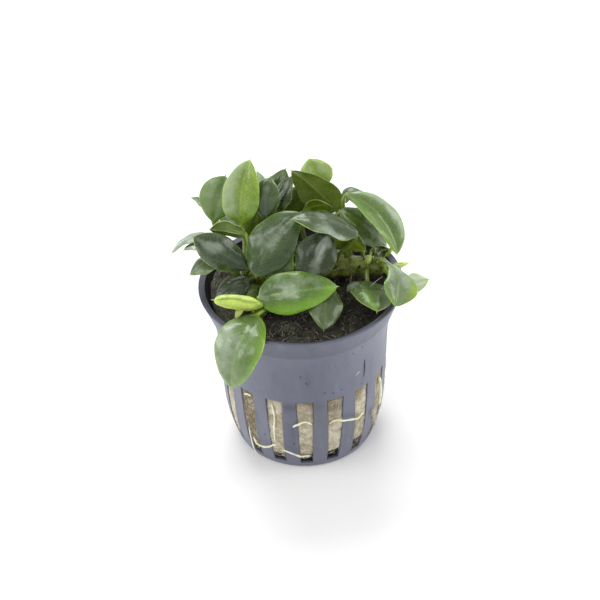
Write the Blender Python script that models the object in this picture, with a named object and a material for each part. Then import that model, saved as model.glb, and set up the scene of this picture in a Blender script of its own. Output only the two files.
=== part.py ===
"""A petite anubias growing in a plug of rock wool in a small slotted net pot.

Lengths are written in millimetres and turned into metres when a mesh is made.
+Z is up, the pot stands on z = 0 and its axis is the Z axis. The front is -Y.
"""

import math
from collections import namedtuple

import bmesh
import bpy
from mathutils import Vector, noise

MM = 0.001
GAP = 0.3
SHARP_ANGLE = 40.0

# Pot
POT_HEIGHT = 50.0
RIM_RADIUS = 27.5
LIP_WIDTH = 1.6
WALL = 1.2
FLOOR = 2.0
SLOT_COUNT = 17
SLOT_TOP = 26.5
SLOT_WIDTH_TOP = 4.9
SLOT_WIDTH_BOTTOM = 3.5
FRONT_SLOT = math.radians(-0.6)
POT_PROFILE = ((0.0, 18.95), (FLOOR, 19.85), (8.0, 21.6), (16.0, 22.6), (SLOT_TOP, 23.05),
               (37.0, 23.6), (43.5, 25.05), (POT_HEIGHT, RIM_RADIUS))
SLOT_LEVELS = (FLOOR, 8.0, 16.0, SLOT_TOP)
OUTER_LEVELS = (0.0,) + SLOT_LEVELS + (37.0, 43.5, POT_HEIGHT - 0.5)
FLOOR_SLOT_OUTER = 14.5
FLOOR_SLOT_INNER = 7.0

# Rock wool plug
WOOL_TOP = 46.0
WOOL_MOUND = 1.0
WOOL_SEGMENTS = 24
WOOL_LEVELS = (10.0, 16.0, 26.0, 36.0, 43.0)
WOOL_BUMP = 0.5
WOOL_UNDERSIDE = ((6.0, 2.7), (13.5, 3.0))
WOOL_TOP_RADII = (22.5, 18.0, 12.0, 6.0)

# Leaves
PETIOLE_RADIUS = 0.65
PETIOLE_STEPS = (0.0, 0.34, 0.7)
SHORT_STALK = 8.0
SHORT_STEPS = (0.0, 0.5)
BLADE_STEPS = (0.0, 0.08, 0.28, 0.5, 0.72, 0.9, 1.0)
BLADE_THICKNESS = 0.5
RIB_DEPTH = 0.35
TIP_WIDTH = 0.4
TIP_BODY = 0.12
INNER_U = 0.55
FOOT_LIFT = 0.7
SHOOT_FOOT_LIFT = 0.45
CLIMB = 0.8
LEAF_TONES = {
    "mature": (0.07, 0.13, 0.04),
    "dark": (0.04, 0.08, 0.03),
    "light": (0.15, 0.28, 0.08),
    "bright": (0.25, 0.45, 0.08),
    "young": (0.45, 0.65, 0.1),
}

# Creeping stems: points along the axis, and the radius
STEMS = {
    "rhizome": (((24, 5, 50.3), (16, 5.5, 50.6), (7, 4.5, 50.5), (-2, 4.5, 50.4),
                 (-11, 3, 50.3), (-18, 1, 50.2)), 2.7),
    "rhizome_side_shoot": (((-5, -1.6, 50.2), (-7.5, -5, 50.2), (-10, -9, 50.0),
                            (-11.5, -13, 49.8)), 2.2),
}
MAIN, SIDE = "rhizome", "rhizome_side_shoot"
STEM_STEPS = 12

Leaf = namedtuple("Leaf", "name stem along turn base tip face width arch fold bend belly tone",
                  defaults=(1.5, -8, 0, 0.85, "mature"))

# Each leaf: the stem it grows from, how far along it (0 to 1) and the angle round it
# (0 is up, positive leans to the front), the points where the blade begins and ends,
# the way its upper side faces, its width, how far the midrib arches up between its
# ends, the rise of its edges in degrees, its sideways bend, where it is broadest (below
# 0.85 nearer the base, above it nearer the tip) and its tone.
LEAVES = (
    Leaf("leaf_upright_bright", MAIN, 0.86, -20, (-15, 3, 67.5), (-12, 8, 84),
         (-0.1, -1, 0.3), 10.5, 1.0, 20, -1, tone="bright"),
    Leaf("leaf_back_left", MAIN, 0.92, -55, (-22.5, 5, 67), (-18.8, 9, 78.7),
         (0, -1, 0.3), 10, 0.5, 5, -0.5, belly=1.2),
    Leaf("leaf_far_back_left", MAIN, 0.97, -80, (-22.5, 12, 64.5), (-28.5, 14, 69),
         (-0.3, 0.35, 0.9), 8),
    Leaf("leaf_behind_bright", MAIN, 0.77, -60, (-11, 17.3, 61), (-10.5, 20.8, 72),
         (0, -0.2, 0.9), 8),
    Leaf("leaf_behind_stalks", MAIN, 0.845, -62, (-12.6, 9.4, 56.6), (-11.2, 10.9, 68.4),
         (0, -0.9, 0.3), 7.5, tone="dark"),
    Leaf("leaf_left_underside", MAIN, 0.91, 20, (-14, 0, 66.1), (-23.4, 1, 67.4),
         (0, 0.9, 0.4), 8, 0.5, 8, tone="bright"),
    Leaf("leaf_left_glossy", MAIN, 0.93, 45, (-14, -4, 58), (-27.5, -3, 68),
         (-0.2, -0.7, 0.7), 9, 1.0, belly=1.05),
    Leaf("leaf_far_left", MAIN, 0.97, -25, (-23.5, 3, 64), (-34, 2, 59.5),
         (0, 0.35, 0.94), 9, 2.0),
    Leaf("leaf_far_left_small", MAIN, 0.97, 80, (-23.5, 0, 61.5), (-30.5, -1, 62.5),
         (0, 0.3, 0.94), 7, 1.5),
    Leaf("leaf_left_low", MAIN, 0.97, 25, (-20.5, 1.5, 56.5), (-29.5, -0.5, 54),
         (-0.1, 0, 1), 8, 2.0),
    Leaf("leaf_centre_large", MAIN, 0.78, 35, (-11.5, -7, 57.5), (0.5, 1, 71.5),
         (-0.2, -0.8, 0.55), 12.5, 1.5, bend=-1.5),
    Leaf("leaf_centre_right", MAIN, 0.36, 30, (15, -2, 66.5), (-1.5, -5, 74),
         (0.2, 0, 1), 12, 2.0),
    Leaf("leaf_centre_under", MAIN, 0.42, 60, (8.7, 0.2, 63.5), (17.5, 0.5, 59.2),
         (0, 0.9, 0.45), 9, 1.5),
    Leaf("leaf_right_under", MAIN, 0.27, -45, (11, 4.5, 69), (23.5, 6.5, 56),
         (0.3, -0.5, 0.8), 9, 2.0),
    Leaf("leaf_right_large", MAIN, 0.17, -60, (12.8, 8.5, 71.8), (25.8, -1, 58.5),
         (0.45, -0.45, 0.9), 10, 2.0, 20, -2.2, belly=1.15, tone="light"),
    Leaf("leaf_back_centre_right", MAIN, 0.34, -60, (10.6, 11, 65.3), (-1.2, 13, 77),
         (0, 0.95, 0.3), 11.5, 1.0, belly=0.6),
    Leaf("leaf_back_centre_low", MAIN, 0.5, -30, (1.3, 8, 66.4), (8.8, 8, 68.6),
         (0, 0.9, 0.4), 7),
    Leaf("leaf_top_bright", MAIN, 0.4, -60, (6.6, 15.5, 69.6), (3.5, 18.5, 77),
         (0, -0.9, 0.4), 9.5, 0.5, 10, tone="bright"),
    Leaf("leaf_top_centre_dark", MAIN, 0.74, 5, (-8.5, 4, 67.5), (-7, 7, 79),
         (-0.2, -0.9, 0.4), 7.5, 1.0, bend=-0.5, belly=1.15),
    Leaf("leaf_top_centre", MAIN, 0.68, -25, (-7.5, 9, 66), (-1.5, 12.5, 75.5),
         (-0.5, -0.6, 0.6), 6.5, 1.0, bend=0.5),
    Leaf("leaf_top_back", MAIN, 0.645, -58, (-7, 16, 64.2), (-3, 19, 73.7),
         (0, -0.5, 0.8), 7),
    Leaf("leaf_shaded", MAIN, 0.58, -20, (-3.9, 13, 60.3), (1.5, 14.9, 70.5),
         (0, -0.9, 0.3), 10, 0.5, tone="dark"),
    Leaf("leaf_centre_dark", MAIN, 0.5, 20, (7.4, -3, 67.3), (0.6, -9.2, 56.2),
         (0, -0.7, 0.7), 10.8, tone="dark"),
    Leaf("leaf_front_bright", SIDE, 0.75, -10, (-11, -12.5, 54.5), (9.5, -11, 56),
         (0, -0.7, 0.7), 11.5, 2.0, belly=0.7, tone="light"),
    Leaf("leaf_front_hanging", SIDE, 0.96, 65, (-12, -17, 52), (-19, -28, 37),
         (-0.3, -0.8, 0.6), 13, 7.0, 3, bend=-0.2, belly=0.8, tone="light"),
    Leaf("leaf_left_shaded", MAIN, 0.86, 80, (-13.5, -5.6, 55.2), (-22.6, -8.9, 51.9),
         (-0.3, -0.4, 0.9), 7.5, tone="dark"),
    Leaf("leaf_left_shaded_low", SIDE, 0.4, -70, (-11.7, -6.4, 53.3), (-18, -10.1, 50.7),
         (0, -0.5, 0.8), 5.5, tone="dark"),
    Leaf("leaf_under_centre", SIDE, 0.1, -40, (-8.7, -4.2, 54.6), (-1.8, -3, 60.6),
         (0, -0.7, 0.7), 8, tone="light"),
    Leaf("leaf_front_small", MAIN, 0.52, 75, (6.5, -7.5, 54), (5.5, -20, 49),
         (0.1, -0.75, 0.65), 9.5, 1.5),
    Leaf("leaf_front_right", MAIN, 0.15, 85, (17.8, -3.8, 51.3), (19.5, -17, 52),
         (0.28, 0, 0.96), 13, 1.2, belly=0.55),
    Leaf("leaf_right_pale", MAIN, 0.05, 60, (22.1, -3, 58), (24.4, -16, 52.6),
         (0.25, -0.75, 0.65), 9.8, 1.5, 20, -2.2, belly=2.1, tone="light"),
    Leaf("leaf_far_right", MAIN, 0.03, 85, (26.6, -5.2, 52.4), (33.8, -6.2, 53.6),
         (0, -0.7, 0.7), 4.2, 0.5, -8, 0.6, belly=0.9, tone="light"),
    Leaf("leaf_right_edge_on", MAIN, 0.13, 10, (20.5, 1.5, 55.5), (24, 3, 57.5),
         (0.6, 0.6, 0.4), 4),
    Leaf("leaf_back_right", MAIN, 0.24, -95, (11.5, 15, 65), (17.5, 17, 67),
         (0, 0.2, 0.9), 8),
    Leaf("leaf_rear_left", MAIN, 0.88, -90, (-15, 14, 57), (-20, 24, 59),
         (-0.2, 0.4, 0.9), 9, 1.5),
    Leaf("leaf_rear_centre", MAIN, 0.6, -90, (-3, 15, 56), (-4.5, 26, 58),
         (0, 0.4, 0.9), 9.5, 1.5),
    Leaf("leaf_rear_right", MAIN, 0.35, -95, (8, 15, 55), (12, 26, 57),
         (0.1, 0.4, 0.9), 9, 1.5),
    Leaf("leaf_rear_far_right", MAIN, 0.08, -95, (20, 13, 54), (26, 20, 55),
         (0.3, 0.4, 0.9), 8, 1.5),
)


Shoot = namedtuple("Shoot", "name stem along turn base tip radius flat tone")

# Leaves that are still rolled up: as above, then the half thickness and how round it is.
SHOOTS = (
    Shoot("leaf_young_rolled", SIDE, 0.95, -60, (-11, -15.5, 54.2), (-22.6, -17, 57.7),
          2.2, 0.8, "young"),
    Shoot("leaf_spear_right", MAIN, 0.02, 20, (24.5, -0.5, 54), (29, -1, 55.5), 0.85, 1.0,
          "young"),
    Shoot("leaf_stub", MAIN, 0.16, 25, (18, 1.5, 54), (19, 1.5, 57), 0.8, 0.8, "young"),
    Shoot("leaf_spear_back", MAIN, 0.05, -35, (24, 5.5, 54), (26, 6, 57.5), 0.8, 0.8, "young"),
)
SHOOT_STEPS = ((0.0, 0.45), (0.25, 0.9), (0.6, 1.0), (0.9, 0.75), (1.0, 0.12))
SHOOT_FOOT = 0.4

# Roots that show through or over the slots: half thickness, then points along the
# root as angle from the front in degrees, height and distance out from the wall.
ROOTS = {
    "root_front": (0.4, ((-9, 18.4, 0.8), (-7, 19.1, 0.8), (-5, 19.4, 0.7), (-2.5, 19.6, 0.1),
                         (0, 19.5, -0.4), (2.2, 19.0, -0.6), (4, 18.4, -0.6))),
    "root_front_right": (0.45, ((15.9, 17.7, -0.6), (19, 18.4, -0.6), (22.5, 18.6, 0.3),
                                (25.5, 18.4, 0.95), (31, 17.7, 0.95), (36.5, 16.9, 0.9),
                                (40, 16.5, 0.3), (43, 16.2, -0.5), (45.3, 16.3, -0.6))),
    "root_left_upright": (0.4, ((-23.5, 25, -0.6), (-22, 20.5, -0.5), (-23, 15.5, -0.5),
                                (-23.5, 10.5, -0.6))),
    "root_left_high": (0.4, ((-46, 24.6, -0.6), (-43, 25.2, -0.4), (-39.5, 25.3, -0.6))),
    "root_left_low": (0.45, ((-43, 8.8, -0.6), (-40, 8.3, 0.3), (-37.5, 8, 0.9),
                             (-32, 8, 0.95), (-27.5, 8.8, 0.9), (-24.5, 9.3, 0.1),
                             (-22.5, 9.3, -0.6))),
    "root_left_hair": (0.3, ((-45.5, 12.5, -0.5), (-44.5, 8, 0.3), (-43, 3.7, 0.9),
                             (-40, 1.2, 0.9))),
    "root_front_low": (0.4, ((-17.5, 8.8, 0.8), (-11, 7.6, 0.8), (-5.5, 6.5, 0.8),
                             (-3, 6, 0.4), (0, 5.6, -0.1), (2.6, 5.4, -0.5))),
    "root_right": (0.6, ((62.5, 24.5, 0.1), (62.5, 21.5, 0.55), (62.5, 18, 0.7),
                         (63, 14, 0.4))),
}
ROOT_STEPS = 6
ROOT_END = 0.6


def catmull(points, t):
    """A point on the smooth curve through the given points, t from 0 to 1."""
    pts = [Vector(p) for p in points]
    pts = [pts[0] * 2 - pts[1]] + pts + [pts[-1] * 2 - pts[-2]]
    spans = len(pts) - 3
    x = min(max(t, 0.0), 1.0) * spans
    i = min(int(x), spans - 1)
    f = x - i
    a, b, c, d = pts[i:i + 4]
    return 0.5 * ((b * 2) + (c - a) * f + (a * 2 - b * 5 + c * 4 - d) * f ** 2
                  + (b * 3 - a - c * 3 + d) * f ** 3)


def direction(points, t):
    """The unit direction of that curve at t."""
    return (catmull(points, t + 0.01) - catmull(points, t - 0.01)).normalized()


def reading(pairs, x):
    """Straight-line reading of a table of (x, value) pairs."""
    for (x0, v0), (x1, v1) in zip(pairs, pairs[1:]):
        if x <= x1:
            return v0 + (v1 - v0) * (x - x0) / (x1 - x0)
    return pairs[-1][1]


def material(name, colour, roughness, metallic=0.0):
    """A Principled material in one colour."""
    mat = bpy.data.materials.get(name) or bpy.data.materials.new(name)
    mat.use_nodes = True
    shader = mat.node_tree.nodes["Principled BSDF"]
    shader.inputs["Base Color"].default_value = (*colour, 1.0)
    shader.inputs["Roughness"].default_value = roughness
    shader.inputs["Metallic"].default_value = metallic
    mat.diffuse_color = (*colour, 1.0)
    return mat


def add_object(name, bm, mat, origin=(0, 0, 0), parent=None):
    """Make a named object of a bmesh in mm, with its origin where it grows or stands."""
    bmesh.ops.translate(bm, vec=-Vector(origin), verts=bm.verts)
    bmesh.ops.scale(bm, vec=(MM, MM, MM), verts=bm.verts)
    bmesh.ops.recalc_face_normals(bm, faces=bm.faces)
    mesh = bpy.data.meshes.new(name)
    bm.to_mesh(mesh)
    bm.free()
    mesh.materials.append(mat)
    mesh.shade_smooth()
    mesh.set_sharp_from_angle(angle=math.radians(SHARP_ANGLE))
    obj = bpy.data.objects.new(name, mesh)
    bpy.context.collection.objects.link(obj)
    place = Vector(origin) * MM
    if parent:
        obj.parent = bpy.data.objects[parent]
        place -= world_place(obj.parent)
    obj.location = place


def world_place(obj):
    """Where an object's origin lies, added up along its parents."""
    place = Vector(obj.location)
    return place + world_place(obj.parent) if obj.parent else place


def loft(rings):
    """A closed body through rings of points that all run the same way round."""
    bm = bmesh.new()
    loops = [[bm.verts.new(p) for p in ring] for ring in rings]
    count = len(loops[0])
    for a, b in zip(loops, loops[1:]):
        for i in range(count):
            j = (i + 1) % count
            bm.faces.new((a[i], a[j], b[j]))
            bm.faces.new((a[i], b[j], b[i]))
    bm.faces.new(reversed(loops[0]))
    bm.faces.new(loops[-1])
    return bm


def pot_radius(z):
    """Outer radius of the pot at a height."""
    return reading(POT_PROFILE, z)


def column_angles(z):
    """Angles of the pot's upright edges at a height: the slot sides, slot and rib middles."""
    share = min(max((z - FLOOR) / (SLOT_TOP - FLOOR), 0.0), 1.0)
    width = SLOT_WIDTH_BOTTOM + (SLOT_WIDTH_TOP - SLOT_WIDTH_BOTTOM) * share
    half = width / 2 / pot_radius(z)
    pitch = 2 * math.pi / SLOT_COUNT
    angles = []
    for k in range(SLOT_COUNT):
        middle = FRONT_SLOT + k * pitch
        angles += [middle - half, middle, middle + half, middle + pitch / 2]
    return angles


def build_pot():
    """The net pot: a tapered wall with a flared top band, upright slots and a slotted floor."""
    bm = bmesh.new()

    def ring(radius, z, angles):
        return [bm.verts.new((radius * math.sin(a), -radius * math.cos(a), z)) for a in angles]

    outer = [ring(pot_radius(z), z, column_angles(z)) for z in OUTER_LEVELS]
    top_angles = column_angles(POT_HEIGHT)
    lip_outer = ring(RIM_RADIUS - 0.2, POT_HEIGHT, top_angles)
    lip_inner = ring(RIM_RADIUS - LIP_WIDTH, POT_HEIGHT - 0.2, top_angles)
    inner_levels = (43.0,) + SLOT_LEVELS[::-1]
    inner = [ring(pot_radius(z) - WALL, z, column_angles(z)) for z in inner_levels]
    walls = outer + [lip_outer, lip_inner] + inner
    first_slot_band = OUTER_LEVELS.index(FLOOR)
    last_slot_band = OUTER_LEVELS.index(SLOT_TOP)
    count = len(top_angles)

    def is_slot(i):
        return i % 4 in (0, 1)

    def band(a, b, cut=False):
        for i in range(count):
            j = (i + 1) % count
            if not (cut and is_slot(i)):
                bm.faces.new((a[i], a[j], b[j], b[i]))

    for n, (a, b) in enumerate(zip(walls, walls[1:])):
        from_end = len(walls) - 1 - n
        in_outer = first_slot_band <= n < last_slot_band
        in_inner = from_end <= len(SLOT_LEVELS) - 1
        band(a, b, cut=in_outer or in_inner)

    slot_outer = outer[first_slot_band:last_slot_band + 1]
    slot_inner = inner[:0:-1]
    for i in range(0, count, 4):
        for a, b in zip(zip(slot_outer, slot_inner), zip(slot_outer[1:], slot_inner[1:])):
            bm.faces.new((a[0][i], a[1][i], b[1][i], b[0][i]))
            bm.faces.new((a[0][i + 2], b[0][i + 2], b[1][i + 2], a[1][i + 2]))
        for k in (i, i + 1):
            bm.faces.new((slot_outer[0][k], slot_outer[0][k + 1],
                          slot_inner[0][k + 1], slot_inner[0][k]))
            bm.faces.new((slot_outer[-1][k], slot_inner[-1][k],
                          slot_inner[-1][k + 1], slot_outer[-1][k + 1]))

    base_angles = column_angles(0.0)
    rows = []
    for z, edge in ((0.0, outer[0]), (FLOOR, inner[-1])):
        rows.append([edge, ring(FLOOR_SLOT_OUTER, z, base_angles),
                     ring(FLOOR_SLOT_INNER, z, base_angles)])
    for row in rows:
        band(row[0], row[1])
        band(row[1], row[2], cut=True)
        bm.faces.new(row[2])
    low, high = rows
    for i in range(0, count, 4):
        for k in (i, i + 2):
            bm.faces.new((low[1][k], low[2][k], high[2][k], high[1][k]))
        for k in (i, i + 1):
            for r in (1, 2):
                bm.faces.new((low[r][k], low[r][k + 1], high[r][k + 1], high[r][k]))
    bmesh.ops.delete(bm, geom=[v for v in bm.verts if not v.link_faces], context="VERTS")
    add_object("net_pot", bm, material("pot_plastic", (0.16, 0.17, 0.24), 0.4))


def wool_radius(angle, z):
    """Radius of the wool: just inside the wall, with shallow dents."""
    room = pot_radius(z) - WALL - GAP
    dent = noise.noise(Vector((math.sin(angle) * 2.1, math.cos(angle) * 2.1, z * 0.16)))
    return room - WOOL_BUMP * (0.5 + 0.5 * dent)


def wool_bottom(angle):
    """Height at which the wool's side ends: it hangs lower at the left of the front."""
    return 4.6 + 1.2 * math.sin(angle - 0.35)


def wool_height(x, y):
    """Height of the wool's top: mounded under the plant, higher at the left and the back."""
    reach = math.hypot(x, y) / 24.0
    bump = 0.7 * noise.noise(Vector((x * 0.19, y * 0.19, 4.2)))
    slope = 0.02 * (y - x)
    return WOOL_TOP + WOOL_MOUND * (1 - reach ** 2) + (bump + slope) * min(1.0, 1.6 * reach)


def build_wool():
    """The rock wool plug, from just above the pot's floor to under the creeping stem."""
    bm = bmesh.new()
    angles = [2 * math.pi * i / WOOL_SEGMENTS for i in range(WOOL_SEGMENTS)]

    def loop(radius, height):
        return [(radius(a) * math.sin(a), -radius(a) * math.cos(a), height(a)) for a in angles]

    loops = [loop(lambda a, r=r: r, lambda a, z=z: z) for r, z in WOOL_UNDERSIDE]
    loops.append(loop(lambda a: wool_radius(a, wool_bottom(a)), wool_bottom))
    for z in WOOL_LEVELS:
        loops.append(loop(lambda a, z=z: wool_radius(a, z), lambda a, z=z: z))
    for r in WOOL_TOP_RADII:
        loops.append(loop(lambda a, r=r: r,
                          lambda a, r=r: wool_height(r * math.sin(a), -r * math.cos(a))))
    verts = [[bm.verts.new(p) for p in points] for points in loops]
    for a, b in zip(verts, verts[1:]):
        for i in range(WOOL_SEGMENTS):
            j = (i + 1) % WOOL_SEGMENTS
            bm.faces.new((a[i], a[j], b[j], b[i]))
    bm.faces.new(reversed(verts[0]))
    bm.faces.new(verts[-1])
    add_object("rock_wool", bm, material("rock_wool", (0.42, 0.36, 0.26), 0.95),
               (0, 0, WOOL_UNDERSIDE[0][1]), "net_pot")


def stem_frame(stem, t):
    """Centre, direction, front side and upward side of a creeping stem at t."""
    points, _ = STEMS[stem]
    ahead = direction(points, t)
    front = ahead.cross(Vector((0, 0, 1))).normalized()
    if front.y > 0:
        front = -front
    return catmull(points, t), ahead, front, Vector((0, 0, 1))


def stem_point(stem, t, turn, lift):
    """A point beside the stem: turn is the angle round it, from up towards the front."""
    centre, _, front, up = stem_frame(stem, t)
    a = math.radians(turn)
    out = up * math.cos(a) + front * math.sin(a)
    return centre + out * (STEMS[stem][1] * stem_swell(t) + lift), out


def stem_swell(t):
    """Share of the full radius along a stem: rounded ends and ringed leaf scars."""
    end = min(t, 1 - t)
    rounded = math.sqrt(max(0.0, 1 - (1 - min(end / 0.05, 1.0)) ** 2))
    return max(0.35, rounded) * (1 + 0.05 * math.sin(t * 30))


def build_stem(name):
    """A creeping stem lying on the wool."""
    points, radius = STEMS[name]
    rings = []
    for n in range(STEM_STEPS + 1):
        t = n / STEM_STEPS
        t = 0.5 - 0.5 * math.cos(math.pi * t) if n in (0, 1, STEM_STEPS - 1, STEM_STEPS) else t
        centre, _, front, up = stem_frame(name, t)
        r = radius * stem_swell(t)
        rings.append([centre + (front * math.cos(a) + up * math.sin(a)) * r
                      for a in (2 * math.pi * i / 8 for i in range(8))])
    add_object(name, loft(rings), material("rhizome", (0.14, 0.17, 0.06), 0.5), points[0],
               "rock_wool")


def blade_share(s, belly):
    """Share of the full half width along a blade: an oval, broadest where belly puts it."""
    return math.sin(math.pi * s ** belly) ** 0.75 if 0 < s < 1 else 0.0


def blade_frames(leaf):
    """Centre, side, upper direction and half width at each step of a leaf's blade."""
    base, tip = Vector(leaf.base), Vector(leaf.tip)
    chord = tip - base
    along = chord.normalized()
    face = Vector(leaf.face)
    up = (face - along * face.dot(along)).normalized()
    side = along.cross(up)
    frames = []
    for s in BLADE_STEPS:
        hump = 4 * s * (1 - s)
        slope = 4 * (1 - 2 * s)
        centre = base + chord * s + up * leaf.arch * hump + side * leaf.bend * hump
        ahead = (chord + up * leaf.arch * slope + side * leaf.bend * slope).normalized()
        across = (side - ahead * side.dot(ahead)).normalized()
        half = max(leaf.width / 2 * blade_share(s, leaf.belly),
                   PETIOLE_RADIUS if s < 0.5 else TIP_WIDTH / 2)
        frames.append((centre, ahead, across, across.cross(ahead), half, s))
    return frames


def blade_ring(frame, fold):
    """Eight points round the blade: edge, three on top, edge, three underneath."""
    centre, _, across, up, half, s = frame
    rise = math.radians(fold)
    body = BLADE_THICKNESS / 2 if s < 1 else TIP_BODY
    rib = RIB_DEPTH * (1 - s)

    def at(u, lift):
        spread = across * u * half * math.cos(rise) + up * abs(u) * half * math.sin(rise)
        return centre + spread + up * lift

    return [at(-1, 0), at(-INNER_U, body * 0.8), at(0, body), at(INNER_U, body * 0.8),
            at(1, 0), at(INNER_U, -body * 0.8), at(0, -body - rib), at(-INNER_U, -body * 0.8)]


def petiole_ring(centre, ahead, side, radius):
    """Eight points round a leaf stalk, in the same order as the blade's."""
    up = side.cross(ahead)
    angles = [math.pi - i * math.pi / 4 for i in range(8)]
    return [centre + side * math.cos(a) * radius + up * math.sin(a) * radius for a in angles]


def petiole_curve(leaf, start_ahead):
    """Control points of the stalk, from the creeping stem to the blade."""
    foot, out = stem_point(leaf.stem, leaf.along, leaf.turn, FOOT_LIFT)
    base = Vector(leaf.base)
    reach = (base - foot).length
    climb = (out + Vector((0, 0, CLIMB))).normalized()
    arrive = (start_ahead + (base - foot).normalized() * 1.5).normalized()
    return foot, foot + climb * reach * 0.4, base - arrive * reach * 0.35, base


def bezier(p, t):
    """A point on the cubic curve with the four given control points."""
    q = 1 - t
    return p[0] * q ** 3 + p[1] * 3 * q * q * t + p[2] * 3 * q * t * t + p[3] * t ** 3


def leaf_rings(leaf):
    """Rings of points from the foot of a leaf's stalk to its tip."""
    frames = blade_frames(leaf)
    base, ahead, across, *_ = frames[0]
    curve = petiole_curve(leaf, ahead)
    steps = PETIOLE_STEPS if (curve[3] - curve[0]).length > SHORT_STALK else SHORT_STEPS
    arriving = (base - bezier(curve, 0.96)).normalized()
    last = (ahead + arriving).normalized()
    side = ahead.rotation_difference(last) @ across
    stalk = [petiole_ring(base, last, side, PETIOLE_RADIUS)]
    for t in reversed(steps):
        ahead = (bezier(curve, t + 0.02) - bezier(curve, t - 0.02)).normalized()
        side = last.rotation_difference(ahead) @ side
        last = ahead
        stalk.append(petiole_ring(bezier(curve, t), ahead, side,
                                  PETIOLE_RADIUS * (1.15 - 0.15 * t)))
    return stalk[::-1] + [blade_ring(frame, leaf.fold) for frame in frames[1:]]


def rings_round(centres, radii, sides, flat=1.0):
    """Rings of points round a line of centres, one radius for each centre."""
    rings = []
    side = None
    for n, (centre, radius) in enumerate(zip(centres, radii)):
        ahead = (centres[min(n + 1, len(centres) - 1)] - centres[max(n - 1, 0)]).normalized()
        side = ahead.cross(Vector((0, 0, 1))) if side is None else side - ahead * side.dot(ahead)
        side.normalize()
        up = side.cross(ahead)
        rings.append([centre + (side * math.cos(a) + up * math.sin(a) * flat) * radius
                      for a in (2 * math.pi * i / sides for i in range(sides))])
    return rings


def build_shoot(shoot):
    """A leaf that is still rolled up, on its short stalk."""
    foot, _ = stem_point(shoot.stem, shoot.along, shoot.turn, SHOOT_FOOT_LIFT)
    base, tip = Vector(shoot.base), Vector(shoot.tip)
    centres = [foot] + [base.lerp(tip, s) for s, _ in SHOOT_STEPS]
    radii = [SHOOT_FOOT] + [shoot.radius * share for _, share in SHOOT_STEPS]
    mat = material("leaf_" + shoot.tone, LEAF_TONES[shoot.tone], 0.3)
    add_object(shoot.name, loft(rings_round(centres, radii, 6, shoot.flat)), mat, foot,
               shoot.stem)


def build_root(name):
    """A root lying in or across the slots of the pot."""
    radius, track = ROOTS[name]
    points = []
    for degrees, z, out in track:
        a = math.radians(degrees)
        r = pot_radius(z) + out
        points.append((r * math.sin(a), -r * math.cos(a), z))
    centres = [catmull(points, n / ROOT_STEPS) for n in range(ROOT_STEPS + 1)]
    radii = [radius * (ROOT_END if n in (0, ROOT_STEPS) else 1.0) for n in range(ROOT_STEPS + 1)]
    mat = material("root", (0.62, 0.6, 0.38), 0.6)
    add_object(name, loft(rings_round(centres, radii, 4)), mat, points[0], "net_pot")


def build_leaf(leaf):
    """One leaf: stalk and blade in one piece."""
    mat = material("leaf_" + leaf.tone, LEAF_TONES[leaf.tone], 0.3)
    foot, _ = stem_point(leaf.stem, leaf.along, leaf.turn, FOOT_LIFT)
    add_object(leaf.name, loft(leaf_rings(leaf)), mat, foot, leaf.stem)


def main():
    """Build every piece of the plant and its pot."""
    for obj in list(bpy.data.objects):
        bpy.data.objects.remove(obj)
    build_pot()
    build_wool()
    for name in STEMS:
        build_stem(name)
    for leaf in LEAVES:
        build_leaf(leaf)
    for shoot in SHOOTS:
        build_shoot(shoot)
    for name in ROOTS:
        build_root(name)


if __name__ == "__main__":
    main()
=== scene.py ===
import math
import random
from collections import namedtuple

import bpy
import numpy as np
from mathutils import Matrix, Quaternion, Vector, noise


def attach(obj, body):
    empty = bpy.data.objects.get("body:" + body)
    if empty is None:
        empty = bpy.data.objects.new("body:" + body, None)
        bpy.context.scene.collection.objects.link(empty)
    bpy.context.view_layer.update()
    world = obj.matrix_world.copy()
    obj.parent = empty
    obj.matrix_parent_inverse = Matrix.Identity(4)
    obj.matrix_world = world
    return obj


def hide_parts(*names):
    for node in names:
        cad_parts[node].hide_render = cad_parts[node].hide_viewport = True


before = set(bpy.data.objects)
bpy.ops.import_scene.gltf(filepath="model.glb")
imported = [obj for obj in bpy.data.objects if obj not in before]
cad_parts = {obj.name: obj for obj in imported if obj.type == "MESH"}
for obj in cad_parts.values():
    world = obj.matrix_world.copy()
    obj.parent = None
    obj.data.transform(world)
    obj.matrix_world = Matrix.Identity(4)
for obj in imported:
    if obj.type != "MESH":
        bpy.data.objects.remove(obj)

bl_info = {
    "name": "Potted petite anubias",
    "version": (1, 0, 0),
    "blender": (4, 5, 0),
    "location": "3D View > Sidebar > Anubias",
    "description": "A petite anubias rooted in rock wool in a small slotted net pot",
    "category": "Add Mesh",
}

MM = 0.001
BODY = "root"
FULL_TURN = 2 * math.pi
# Vertices closer than this, in metres, become one.
MERGE = 1e-7

# Lengths below are in mm, unless a comment says metres.

# The pot, as the frame has it: height and outer radius of its side, from the bottom up.
POT_PROFILE = ((0.0, 18.95), (2.0, 19.85), (8.0, 21.6), (16.0, 22.6), (26.5, 23.05),
               (37.0, 23.6), (43.5, 25.05), (50.0, 27.5))
POT_HEIGHT = 50.0
POT_FLOOR = 2.0
RIM_RADIUS = 27.5
WALL = 1.2
ROUNDING = 0.18

# The slots: their number, top, width at the floor and at the top, the angle of the one at the
# front, and the radii between which they lie in the floor.
SLOT_COUNT = 17
SLOT_PITCH = FULL_TURN / SLOT_COUNT
SLOT_TOP = 26.5
SLOT_WIDTHS = (3.5, 4.9)
FRONT_SLOT = math.radians(-0.6)
FLOOR_SLOTS = (7.0, 14.5)

# The plug: height of its underside and of its side's upper edge, radius of its top, and the
# angle at which its side is brown.
WOOL_FLOOR = 3.2
WOOL_EDGE = 45.0
TOP_RADIUS = 23.0
BROWN_WOOL = math.radians(-43)

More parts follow.
